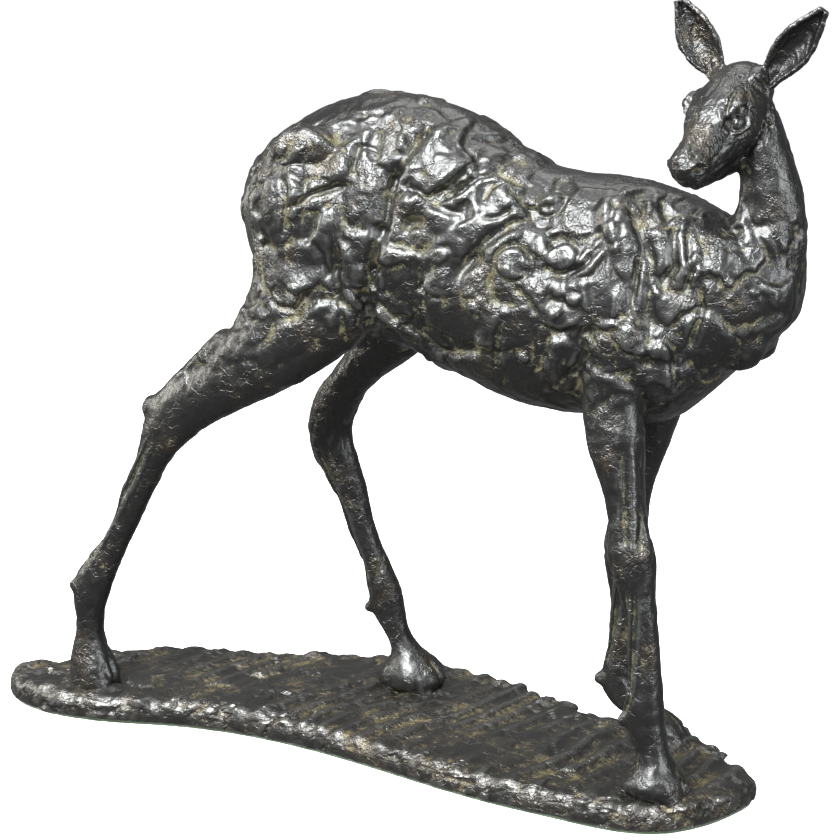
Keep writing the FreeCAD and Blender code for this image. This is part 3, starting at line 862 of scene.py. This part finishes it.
def parted(mesh, cuts, homes):
    """Cuts a skin, then gives every part to the casting whose home place is nearest, as one mesh for each.

    The whole skin's normals are kept on the parts, so that no line shows where two castings meet."""
    bm = bmesh.new()
    bm.from_mesh(mesh)
    bm.normal_update()
    whole = bm.verts.layers.float_vector.new("whole_normal")
    for vert in bm.verts:
        vert[whole] = vert.normal
    for face in bm.faces:
        face.smooth = True
    for name, (centre, way, reach) in cuts.items():
        print("cut at", name, "opened", cut_through(bm, centre, way, reach))
    part_layer = bm.faces.layers.int.new("part")
    names = list(homes)
    for shell in shells(bm):
        middle = sum((f.calc_center_median() for f in shell), Vector()) / len(shell) / MM
        away = [(middle - Vector(homes[home])).length for home in names]
        nearest = away.index(min(away))
        for face in shell:
            face[part_layer] = nearest if len(shell) > SMALLEST_PART else -1
    found = {}
    for number, name in enumerate(names):
        part = bm.copy()
        layer = part.faces.layers.int["part"]
        bmesh.ops.delete(part, geom=[f for f in part.faces if f[layer] != number], context="FACES")
        closed(part)
        found[name] = bpy.data.meshes.new(name)
        part.to_mesh(found[name])
        part.free()
        kept = found[name].attributes["whole_normal"]
        normals = np.empty(len(found[name].vertices) * 3)
        kept.data.foreach_get("vector", normals)
        found[name].attributes.remove(kept)
        found[name].normals_split_custom_set_from_vertices(normals.reshape(-1, 3))
        print("  ", name, sum(len(p.vertices) - 2 for p in found[name].polygons), "triangles")
    bm.free()
    return found


BODY_CUTS = {
    "throat": (THROAT, THROAT_WAY, 30),
    "neck root": ((196, -13, 272), (0.53, 0, 1), 32),
    "right foreleg": ((136.9, -39.2, 178), (5, -2.5, -22), 25),
    "left foreleg": ((137.5, 11.1, 178), (-6, 0.5, -24), 25),
    "right hind leg": ((-45, -40.9, 196), (-19, -2, -19), 25),
    "left hind leg": ((-13.8, 15.2, 188), (-16, 1.5, -18), 25),
}
BODY_HOMES = {
    "barrel_casting": (70, -13, 245),
    "neck_casting": (192, -13, 290),
    "right_foreleg": (150, -44, 90),
    "left_foreleg": (124, 12, 90),
    "right_hind_leg": (-110, -43, 110),
    "left_hind_leg": (-28, 19, 110),
    "spare head": (179, -25, 325),
}
body_parts = parted(body_skin, BODY_CUTS, BODY_HOMES)
bpy.data.meshes.remove(body_parts.pop("spare head"))

# %% [markdown]
# ## The ears
#
# A doe's ears are big cupped leaves. Each is pressed from a flat leaf of clay about two millimetres
# thick: widest at the middle, its two rims rolled towards each other so that it cups, and its tip drawn
# out. A flat grid is bent into the leaf's shape and given its thickness, and a short stem of clay joins
# it to the head.

# %% Model the ears
# Share of the way from root to tip, and the half width there as a share of the greatest.
EAR_WIDTHS = [(0, 0.40), (0.1, 0.48), (0.22, 0.70), (0.36, 0.94), (0.5, 1.0), (0.64, 0.88), (0.78, 0.60),
              (0.9, 0.30), (1, 0.05)]
EAR_HALF_WIDTH = 9.4     # mm
EAR_THICKNESS = 2.2      # mm


def press_ear(bm, root, tip, facing, width=1.0):
    """A cupped leaf with rolled rims from root to tip, opening the way it faces. Places are in mm."""
    root, tip = Vector(root), Vector(tip)
    upwards = (tip - root).normalized()
    out = (Vector(facing) - upwards * upwards.dot(Vector(facing))).normalized()
    wide = upwards.cross(out).normalized()
    leaf = bmesh.new()
    bmesh.ops.create_grid(leaf, x_segments=22, y_segments=36, size=1.0)
    for vert in leaf.verts:
        across, share = vert.co.x, 0.5 + vert.co.y / 2
        half = EAR_HALF_WIDTH * width * float(np.interp(share, *zip(*EAR_WIDTHS)))
        cup = 6.0 * across * across * (0.4 + 0.6 * half / EAR_HALF_WIDTH) - 3.4
        bow = -1.4 * math.sin(math.pi * share)
        outwards = wide * half * across * (1 - 0.1 * across ** 2)
        vert.co = (root.lerp(tip, share) + outwards + out * (cup + bow)) * MM
    leaf.normal_update()
    bmesh.ops.solidify(leaf, geom=leaf.faces[:], thickness=EAR_THICKNESS * MM)
    bmesh.ops.recalc_face_normals(leaf, faces=leaf.faces[:])
    mesh = bpy.data.meshes.new("leaf")
    leaf.to_mesh(mesh)
    leaf.free()
    bm.from_mesh(mesh)
    bpy.data.meshes.remove(mesh)
    # The thick stem that the leaf grows from.
    roll(bm, root - upwards * 6 - out * 6, root + upwards * 6 - out * 5, 5.2, 2.6)


# %% [markdown]
# ## The head's skin
#
# The head is wrapped a second time with a mesh about twice as fine, because its marks are smaller. It
# takes in the top of the neck as well, so that both skins have the same shape where the throat is cut.
# The ears are leaves of this same clay, cut off at their roots afterwards.

# %% Wrap the head
RIGHT_EAR = ((170, -14, 335), (151, -13, 366.5), (-0.3, -1, 0.1))
LEFT_EAR = ((193, -18, 333), (217.5, -21, 363.5), (0.4, -1, 0.1))

head = bmesh.new()
for node in ("head_casting", "neck_casting", "head_joint_pins"):
    add_casting(head, node)
for place, radii in PACKING[-3:]:
    pellet(head, place, radii)
press_head(head, fine=True)
press_ear(head, *RIGHT_EAR)
press_ear(head, *LEFT_EAR, width=0.8)
HEAD_VOXEL = 0.52
head_skin = wrapped(head, HEAD_VOXEL, 5, "head_skin")
print("head skin:", len(head_skin.vertices), "points")

# %% [markdown]
# ## The face
#
# A doe's eye is large, set at the side, under a brow that stands out like a shelf. It is a ball between
# two lids, with a tear line that runs forward from its inner corner. The nostrils are commas in a blunt
# pad, and the mouth is one long line that curves up at its corner. Sheets are laid on the side of the
# head for these marks.

# %% Mark the face
face = Clay(head_skin)
turn = np.array([list(FORWARD), list(LEFTWARD), list(UPWARD)])
local = (face.points - np.array(SKULL)) @ turn.T
local_normals = face.normals @ turn.T


def face_sheet(axis, sign, where):
    """A sheet on one side (axis 1) or on top (axis 2) of the head, as (along the face, up or left)."""
    facing = ramp(local_normals[:, axis] * sign, 0.05, 0.3)
    who = np.nonzero((facing > 0) & where)[0]
    return who, local[who, 0], local[who, 3 - axis], facing[who]


lobes = (face.points[:, 2] > 338) | ((local[:, 0] < -4) & (np.abs(local[:, 1]) > 13))
pressed_pellets(face, spacing=8.5, height=0.24, lean=0.05, crack=0.15, pillow=0.35, seed=41,
                wander=0.5, amount=np.where(lobes, 0.3, 0.7))
pressed_pellets(face, spacing=3.6, height=0.07, lean=0.05, crack=0.08, pillow=0.12, seed=42,
                wander=0.5, amount=np.where(lobes, 0.3, 0.4))
for side in (RIGHT, LEFT):
    sheet = face_sheet(1, side, (local[:, 1] * side > 1.5) & ~lobes)
    # Socket, eyeball, lids, brow, and the tear line.
    flat(face, sheet, (19.6, 3.6), (8.5, 6.4), -16, -0.4, keep=0.1)
    dome(face, sheet, (19.6, 4.4), (6.8, 4.4), -16, -1.9)
    dome(face, sheet, (20.2, 2.8), (3.6, 2.4), -16, 2.3, 0.45)
    dome(face, sheet, (14.5, 10.0), (4.2, 2.6), -20, 1.0)
    ledge(face, sheet, [(11.5, 6.0), (16.5, 8.6), (22, 8.2), (29, 4.6)], 1.5, 3.0, 1, 0.6)
    groove(face, sheet, [(15.5, 0.6), (18.5, -0.6), (22.5, -0.2), (25.5, 1.8)], 0.7, -1.2)
    groove(face, sheet, [(17.5, -2.6), (22.5, -2.4), (27.5, -0.6)], 0.9, 0.6)
    groove(face, sheet, [(24.5, 2.2), (28, 0.8), (31.5, -0.6)], 0.9, 0.9)
    # Cheek, ribs beside the muzzle, nostril, mouth and chin.
    ledge(face, sheet, [(6, 0), (11, -7), (19, -12), (29, -14)], 1.1, 4.5, 1, 0.8)
    groove(face, sheet, [(4, -3), (8, -12), (17, -19)], 1.3, 1.0)
    groove(face, sheet, [(27, -2), (33, -1.5), (40, -2.2)], 1.0, 0.5)
    for k in range(4):
        groove(face, sheet, [(28 + 2.4 * k, 5.2), (29 + 2.4 * k, 2.0), (32 + 2.4 * k, -1.2)], 0.6, 0.55)
    dome(face, sheet, (47.2, 0.2), (2.9, 1.5), 40, -1.6)
    groove(face, sheet, [(43.4, -3.4), (43.6, 1.2), (46.0, 3.4), (50, 2.6)], 0.8, -1.2)
    groove(face, sheet, [(51, -5.2), (45, -6.0), (38, -8.0), (31, -8.6)], 0.7, 1.3)
    groove(face, sheet, [(50, -4.0), (44, -4.8), (38, -6.6)], 0.6, -0.4)
    # The hollow in front of the ear and the temple's ridge.
    dome(face, sheet, (-1, 5), (4, 5), 20, -0.9)
    ledge(face, sheet, [(-6, 3), (-2, -2), (0, -9)], 0.8, 2.5, 1, 0.6)
top = face_sheet(2, 1, ~lobes)
flat(face, top, (14, 0), (13, 6.5), 0, 0.1, keep=0.3)
groove(face, top, [(20, 0), (30, 0.4), (42, 0)], 1.8, -0.5)
for offset in (-4.6, 4.8):
    groove(face, top, [(20, offset * 1.2), (31, offset), (41, offset * 0.9)], 1.0, 0.45)
groove(face, top, [(4, -1), (10, 0.6), (16, -0.6)], 0.9, 0.6)
dome(face, top, (50.5, 0), (2.2, 1.0), 90, -0.5)

# Long strokes up the ears, and small ones over the cheeks.
strokes(face, face.points[:, 2] > 342, count=36, length=8, height=0.30, seed=43, lean=0.2, way=(0.1, 0, 1.0))
strokes(face, ~lobes, count=50, length=4.2, height=0.25, seed=44, lean=0.5, way=FORWARD)
face.relief += 0.10 * noise(face.points, 2.4, 45) + 0.04 * noise(face.points, 1.1, 46)
face.relief *= 1 - by_throat(face, 3.0) * (np.abs(local[:, 0]) < 34)
face.apply()


def ear_cut(root, tip, facing):
    """The plane just above an ear's root, across its length."""
    upwards = (Vector(tip) - Vector(root)).normalized()
    return tuple(Vector(root) + upwards * 3.5), tuple(upwards), 15


HEAD_CUTS = {
    "throat": (THROAT, THROAT_WAY, 30),
    "right ear": ear_cut(*RIGHT_EAR),
    "left ear": ear_cut(*LEFT_EAR),
}
HEAD_HOMES = {
    "head_casting": (180, -24, 322),
    "right_ear": (158, -13, 355),
    "left_ear": (208, -20, 352),
    "spare neck": (193, -13, 280),
}
head_parts = parted(head_skin, HEAD_CUTS, HEAD_HOMES)
bpy.data.meshes.remove(head_parts.pop("spare neck"))

# %% [markdown]
# ## The rocky ground
#
# The base was modelled in clay too: a thin slab with low slanting ripples on top, a rim pinched into
# lumps by the thumb, and mounds pressed up round each hoof so that it stands in the ground and not only
# on it.

# %% Wrap the base and press clay on it
base = bmesh.new()
add_casting(base, "base_casting")
for (x, y), toe, _ in HOOVES:
    pellet(base, (x - 3, y + 2, 12), (21, 12, 4.5), toe)
    pellet(base, (x + 9, y - 3, 12.5), (10, 7.5, 4.2), (1, 0.6, 0))
    pellet(base, (x - 13, y - 1, 12), (9, 7, 4.8), (1, -0.5, 0))
rng = np.random.default_rng(61)
plain_base = nodes["base_casting"].data
outline = np.array([(v.co.x / MM, v.co.y / MM) for v in plain_base.vertices if v.co.z > 13 * MM])
RIM_LUMPS, RIM_PULL = 80, 0.93
for x, y in outline[rng.choice(len(outline), RIM_LUMPS)]:
    if abs(x) > 186 or math.hypot(x - 5, y - 24) < 18:
        continue
    place = (x * 0.985, (y + 4) * RIM_PULL - 4, 11.5 + rng.uniform(-1.5, 1.0))
    radii = (rng.uniform(8, 17), rng.uniform(3.0, 5.0), rng.uniform(2.4, 3.8))
    pellet(base, place, radii, (1, rng.uniform(-0.4, 0.4), 0))
BASE_VOXEL = 1.5
base_skin = wrapped(base, BASE_VOXEL, 3, "base_skin")
ground = Clay(base_skin)
low = ground.points[:, 2] < 2.2
on_top = ramp(ground.normals[:, 2], 0.3, 0.4)
on_rim = np.clip((0.6 - np.abs(ground.normals[:, 2])) / 0.3, 0, 1)
pressed_pellets(ground, spacing=20.0, height=0.5, lean=0.05, crack=0.2, pillow=0.6, seed=62,
                amount=0.45 + 0.35 * on_rim)
pressed_pellets(ground, spacing=8.0, height=0.25, lean=0.07, crack=0.25, pillow=0.5, seed=63,
                wander=0.5, amount=0.22 + 0.12 * on_rim)
x, y = ground.points[:, 0], ground.points[:, 1]
RIPPLE = 12.5            # mm from crest to crest
RIPPLE_HEIGHT = 1.05     # mm
ripple = np.sin((x - 0.3 * y) * 2 * math.pi / RIPPLE + 2.4 * noise(ground.points, 34, 64))
uneven = np.clip(0.6 + noise(ground.points, 30, 65), 0.1, 1)
ground.relief += RIPPLE_HEIGHT * ripple * on_top * uneven
strokes(ground, on_top > 0.5, count=90, length=14, height=0.36, seed=66, lean=0.4, way=(0.3, 1.0, 0))
strokes(ground, on_rim > 0.3, count=60, length=14, height=1.0, seed=67, lean=0.3, way=(1.0, 0.0, 0.2))
ground.relief += 0.14 * noise(ground.points, 3.6, 68)
ground.relief *= ~low
ground.apply()
base_faces = sum(len(p.vertices) - 2 for p in base_skin.polygons)
print("base:", base_faces, "triangles")

# %% [markdown]
# ## Put the pieces in their places
#
# Every sculpted mesh becomes an object, rides on the one body, and stands for its plain casting, which is
# hidden.

# %% Pieces
sculpted = {**body_parts, **head_parts, "base_casting": base_skin}
pieces = {}
for node, mesh in sculpted.items():
    piece = bpy.data.objects.new("sculpted_" + node, mesh)
    bpy.context.collection.objects.link(piece)
    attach(piece, "root")
    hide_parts(node)
    pieces[node] = piece
for mesh in (body_skin, head_skin):
    bpy.data.meshes.remove(mesh)
print("pieces:", len(pieces))

# %% [markdown]
# ## Patina
#
# The bronze is nearly black, and it isn't one colour. The foundry brushed a dark patina on hot and rubbed
# it back on the ridges, and olive and ochre salts were left in the hollows. The skin's own hollow
# attribute says where those are. A thin clear wax over everything gives the cool white glints. The grain
# is drawn at its real size, below a millimetre.

# %% Helpers for materials
def linear(code):
    """A colour from its usual hex code, as the renderer wants it."""
    parts = [int(code[k:k + 2], 16) / 255 for k in (1, 3, 5)]
    return (*(c / 12.92 if c <= 0.04045 else ((c + 0.055) / 1.055) ** 2.4 for c in parts), 1.0)


def add(tree, kind, sockets=(), **settings):
    """Adds one node. Each socket gets a value, or a link where the value is another node's output."""
    new = tree.nodes.new(kind)
    for name, value in settings.items():
        setattr(new, name, value)
    for name, value in sockets:
        if isinstance(value, bpy.types.NodeSocket):
            tree.links.new(value, new.inputs[name])
        else:
            new.inputs[name].default_value = value
    return new


def fresh(name):
    """An empty material with its output, its shader and the object's own coordinates."""
    material = bpy.data.materials.new(name)
    material.use_nodes = True
    tree = material.node_tree
    tree.nodes.clear()
    shader = add(tree, "ShaderNodeBsdfPrincipled")
    add(tree, "ShaderNodeOutputMaterial", [("Surface", shader.outputs["BSDF"])])
    place = add(tree, "ShaderNodeTexCoord").outputs["Object"]
    return material, tree, shader, place


# %% Bronze
# Each layer of grain: its size in mm, how many finer layers it holds, and how strong those are.
GRAIN = {
    "fine": (0.9, 2.0, 0.6),
    "middle": (4.0, 2.0, 0.6),
    "broad": (19.0, 2.0, 0.6),
    "pits": (0.8, 1.5, 0.6),
    "waves": (4.2, 3.0, 0.5),
    "wander": (9.0, 2.5, 0.6),
}
PER_METRE = 1000.0       # a noise's scale is one metre over its grain's size, and the sizes are in mm
WRINKLE = 0.022          # how far from its middle the wandering value still makes a wrinkle
BUMP_DEPTH = 0.00034     # metres
COAT_ROUGHNESS = 0.36


def bronze(name, dark, grey, brown, olive, ochre, brown_share, salt_share, rough, sunken=1.0):
    """Dark patinated bronze: rubbed ridges, salts in the hollows, wax on top."""
    material, tree, shader, place = fresh(name)
    hollow = add(tree, "ShaderNodeAttribute", attribute_name="hollow").outputs["Fac"]
    grain = {}
    for layer, (size, detail, strength) in GRAIN.items():
        grain[layer] = add(tree, "ShaderNodeTexNoise", [
            ("Vector", place), ("Scale", PER_METRE / size), ("Detail", detail), ("Roughness", strength),
        ]).outputs["Fac"]

    # Salts lie in shallow hollows where the patches agree, broken up by the grain. The deepest clefts get no
    # salt and stay black bronze, as painted shade.
    shallow = add(tree, "ShaderNodeMath", [(0, hollow), (1, 0.3)], operation="MINIMUM").outputs[0]
    patches = grain["broad"]
    for value, weight in ((shallow, 1.15 * sunken), (grain["middle"], 0.6), (grain["fine"], 0.9)):
        patches = add(tree, "ShaderNodeMath", [(0, value), (1, weight), (2, patches)],
                      operation="MULTIPLY_ADD").outputs[0]
    salt_patches = add(tree, "ShaderNodeMapRange", [
        ("Value", patches), ("From Min", 1.47 - salt_share), ("From Max", 1.74 - salt_share),
        ("To Max", 0.75),
    ], interpolation_type="SMOOTHSTEP").outputs["Result"]
    # Painted shade: the salts fade out of the deepest clefts, so that these stay dark.
    outside_painted_cleft_shade = add(tree, "ShaderNodeMapRange", [
        ("Value", hollow), ("From Min", 0.35), ("From Max", 0.8), ("To Min", 1.0), ("To Max", 0.1),
    ]).outputs["Result"]
    salt = add(tree, "ShaderNodeMath", [(0, salt_patches), (1, outside_painted_cleft_shade)],
               operation="MULTIPLY").outputs[0]

    # Broad patches are warmer, ridges are rubbed back to a lighter grey, and salts go from olive to ochre.
    shares = []
    for value, low, high in (
            (grain["broad"], 0.58 - brown_share, 0.74 - brown_share),
            (hollow, -0.10, -0.55),
            (grain["middle"], 0.42, 0.6)):
        ranged = add(tree, "ShaderNodeMapRange", [("Value", value), ("From Min", low), ("From Max", high)],
                     interpolation_type="SMOOTHSTEP")
        shares.append(ranged.outputs["Result"])
    warm, rubbed, yellowed = shares
    salts = add(tree, "ShaderNodeMix", [(0, yellowed), (6, linear(olive)), (7, linear(ochre))],
                data_type="RGBA").outputs[2]
    colour = linear(dark)
    for share, over in ((warm, linear(brown)), (rubbed, linear(grey)), (salt, salts)):
        colour = add(tree, "ShaderNodeMix", [(0, share), (6, colour), (7, over)],
                     data_type="RGBA").outputs[2]
    tree.links.new(colour, shader.inputs["Base Color"])

    # Salts are dull, and the wax is thin on them.
    for socket, value, low, high, start, end in (
            ("Metallic", salt, 0.0, 1.0, 0.85, 0.3),
            ("Roughness", patches, 1.0, 1.7, rough - 0.06, rough + 0.16),
            ("Coat Weight", salt, 0.0, 1.0, 0.6, 0.1)):
        ranged = add(tree, "ShaderNodeMapRange", [
            ("Value", value), ("From Min", low), ("From Max", high), ("To Min", start), ("To Max", end),
        ])
        tree.links.new(ranged.outputs["Result"], shader.inputs[socket])
    shader.inputs["Coat Roughness"].default_value = COAT_ROUGHNESS

    # Wrinkles of the clay and pits of the casting, calmer in some patches than in others. A wrinkle runs
    # where a wandering value passes through its middle.
    off_middle = add(tree, "ShaderNodeMath", [(0, grain["wander"]), (1, 0.5)],
                     operation="SUBTRACT").outputs[0]
    off_middle = add(tree, "ShaderNodeMath", [(0, off_middle)], operation="ABSOLUTE").outputs[0]
    wrinkle = add(tree, "ShaderNodeMapRange", [
        ("Value", off_middle), ("From Min", 0.0), ("From Max", WRINKLE),
    ], interpolation_type="SMOOTHSTEP").outputs["Result"]
    relief = grain["pits"]
    for value, weight in ((wrinkle, 0.9), (grain["waves"], 4.0)):
        relief = add(tree, "ShaderNodeMath", [(0, value), (1, weight), (2, relief)],
                     operation="MULTIPLY_ADD").outputs[0]
    strength = add(tree, "ShaderNodeMapRange", [
        ("Value", grain["broad"]), ("From Min", 0.4), ("From Max", 0.62), ("To Min", 0.22), ("To Max", 0.85),
    ]).outputs["Result"]
    bump = add(tree, "ShaderNodeBump", [
        ("Height", relief), ("Strength", strength), ("Distance", BUMP_DEPTH),
    ])
    for socket in ("Normal", "Coat Normal"):
        tree.links.new(bump.outputs["Normal"], shader.inputs[socket])
    return material


figure_bronze = bronze("dark_patinated_bronze", "#1e1e1c", "#41423f", "#2a251e", "#363a22", "#4d482c",
                       brown_share=0.05, salt_share=0.02, rough=0.42)
ground_bronze = bronze("brown_patinated_bronze", "#2a2926", "#4a4945", "#35312b", "#42432c", "#5f5436",
                       brown_share=0.10, salt_share=0.14, rough=0.45, sunken=0.4)

# %% [markdown]
# ## Fastenings and felt
#
# The studs, washers and nuts under the base are turned steel, with faint rings from the lathe and a
# little oil. The felt is wool pressed flat: its fibres lie every way, so a fine noise that runs no way in
# particular stands for them.

# %% Steel and felt
steel, tree, shader, place = fresh("zinc_plated_steel")
shader.inputs["Base Color"].default_value = linear("#a9aaa6")
shader.inputs["Metallic"].default_value = 1.0
stain = add(tree, "ShaderNodeTexNoise", [
    ("Vector", place), ("Scale", PER_METRE / 1.5), ("Detail", 2.0), ("Roughness", 0.6),
]).outputs["Fac"]
dulled = add(tree, "ShaderNodeMapRange", [("Value", stain), ("To Min", 0.26), ("To Max", 0.48)])
tree.links.new(dulled.outputs["Result"], shader.inputs["Roughness"])
turned_marks = add(tree, "ShaderNodeTexWave", [("Vector", place), ("Scale", 900.0), ("Distortion", 1.5)],
                   bands_direction="Z")
bump = add(tree, "ShaderNodeBump", [("Height", turned_marks.outputs["Fac"]), ("Strength", 0.2),
                                    ("Distance", 0.00005)])
tree.links.new(bump.outputs["Normal"], shader.inputs["Normal"])

felt, tree, shader, place = fresh("green_wool_felt")
fibres, clumps = (
    add(tree, "ShaderNodeTexNoise", [
        ("Vector", place), ("Scale", PER_METRE / size), ("Detail", detail), ("Roughness", strength),
    ]).outputs["Fac"]
    for size, detail, strength in ((0.5, 6.0, 0.75), (6.0, 2.0, 0.6)))
wool = add(tree, "ShaderNodeMix", [(0, clumps), (6, linear("#23301f")), (7, linear("#34452b"))],
           data_type="RGBA")
tree.links.new(wool.outputs[2], shader.inputs["Base Color"])
shader.inputs["Roughness"].default_value = 0.95
shader.inputs["Sheen Weight"].default_value = 0.4
bump = add(tree, "ShaderNodeBump", [("Height", fibres), ("Strength", 0.8), ("Distance", 0.0003)])
tree.links.new(bump.outputs["Normal"], shader.inputs["Normal"])

FINISHES = {"hoof_studs": steel, "hoof_washers": steel, "hoof_nuts": steel, "base_felt": felt}
for node in nodes:
    if node in pieces:
        target = pieces[node]
        finish = ground_bronze if node == "base_casting" else figure_bronze
    else:
        target, finish = nodes[node], FINISHES.get(node, figure_bronze)
    target.data.materials.clear()
    target.data.materials.append(finish)
print("finishes:", sorted({m.name for m in (steel, felt, figure_bronze, ground_bronze)}))

# %% [markdown]
# ## Light and floor
#
# Dark bronze shows its shape by what it mirrors, so the light comes from large soft boxes. The main one
# is high, in front and a little to the left. Tall ones on the right and left draw the edges of the breast
# and the haunch, and one overhead lights the back. The floor is plain and pale, and so is the air.

# %% Lights, air and floor
def softbox(name, place, aim, size, power, tint="#ffffff"):
    """A rectangular soft light, in metres, that looks at a point."""
    lamp = bpy.data.lights.new(name, "AREA")
    lamp.shape = "RECTANGLE"
    lamp.size, lamp.size_y = size
    lamp.energy = power
    lamp.color = linear(tint)[:3]
    holder = bpy.data.objects.new(name, lamp)
    holder.location = place
    holder.rotation_euler = (Vector(place) - Vector(aim)).to_track_quat("Z", "Y").to_euler()
    bpy.context.collection.objects.link(holder)


middle = (0.02, -0.01, 0.18)
softbox("main softbox", (-0.20, -1.10, 1.20), middle, (0.75, 0.75), 120, "#fafcff")
softbox("right softbox", (1.25, -0.55, 0.55), middle, (0.30, 0.9), 20, "#f8faff")
softbox("top softbox", (0.05, 0.25, 1.35), middle, (0.9, 0.5), 10, "#ffffff")
softbox("left softbox", (-1.3, -0.35, 0.6), middle, (0.3, 0.8), 16, "#fffaf2")

air = bpy.data.worlds.new("pale studio air")
air.use_nodes = True
air.node_tree.nodes["Background"].inputs["Color"].default_value = (0.96, 0.97, 1.0, 1)
air.node_tree.nodes["Background"].inputs["Strength"].default_value = 0.25
bpy.context.scene.world = air
bpy.context.scene.view_settings.view_transform = "Standard"

floor_mesh = bpy.data.meshes.new("floor")
sheet_of_floor = bmesh.new()
bmesh.ops.create_grid(sheet_of_floor, x_segments=1, y_segments=1, size=14.0)
sheet_of_floor.to_mesh(floor_mesh)
sheet_of_floor.free()
floor = bpy.data.objects.new("floor", floor_mesh)
bpy.context.collection.objects.link(floor)
plain, tree, shader, place = fresh("plain_white_floor")
shader.inputs["Base Color"].default_value = (0.93, 0.93, 0.93, 1)
shader.inputs["Roughness"].default_value = 0.9
shader.inputs["Specular IOR Level"].default_value = 0.1
shader.inputs["Emission Color"].default_value = (1, 1, 1, 1)
shader.inputs["Emission Strength"].default_value = 0.8
floor_mesh.materials.append(plain)
# The metal doesn't mirror the bright floor, as if black card lay round it.
floor.visible_glossy = False
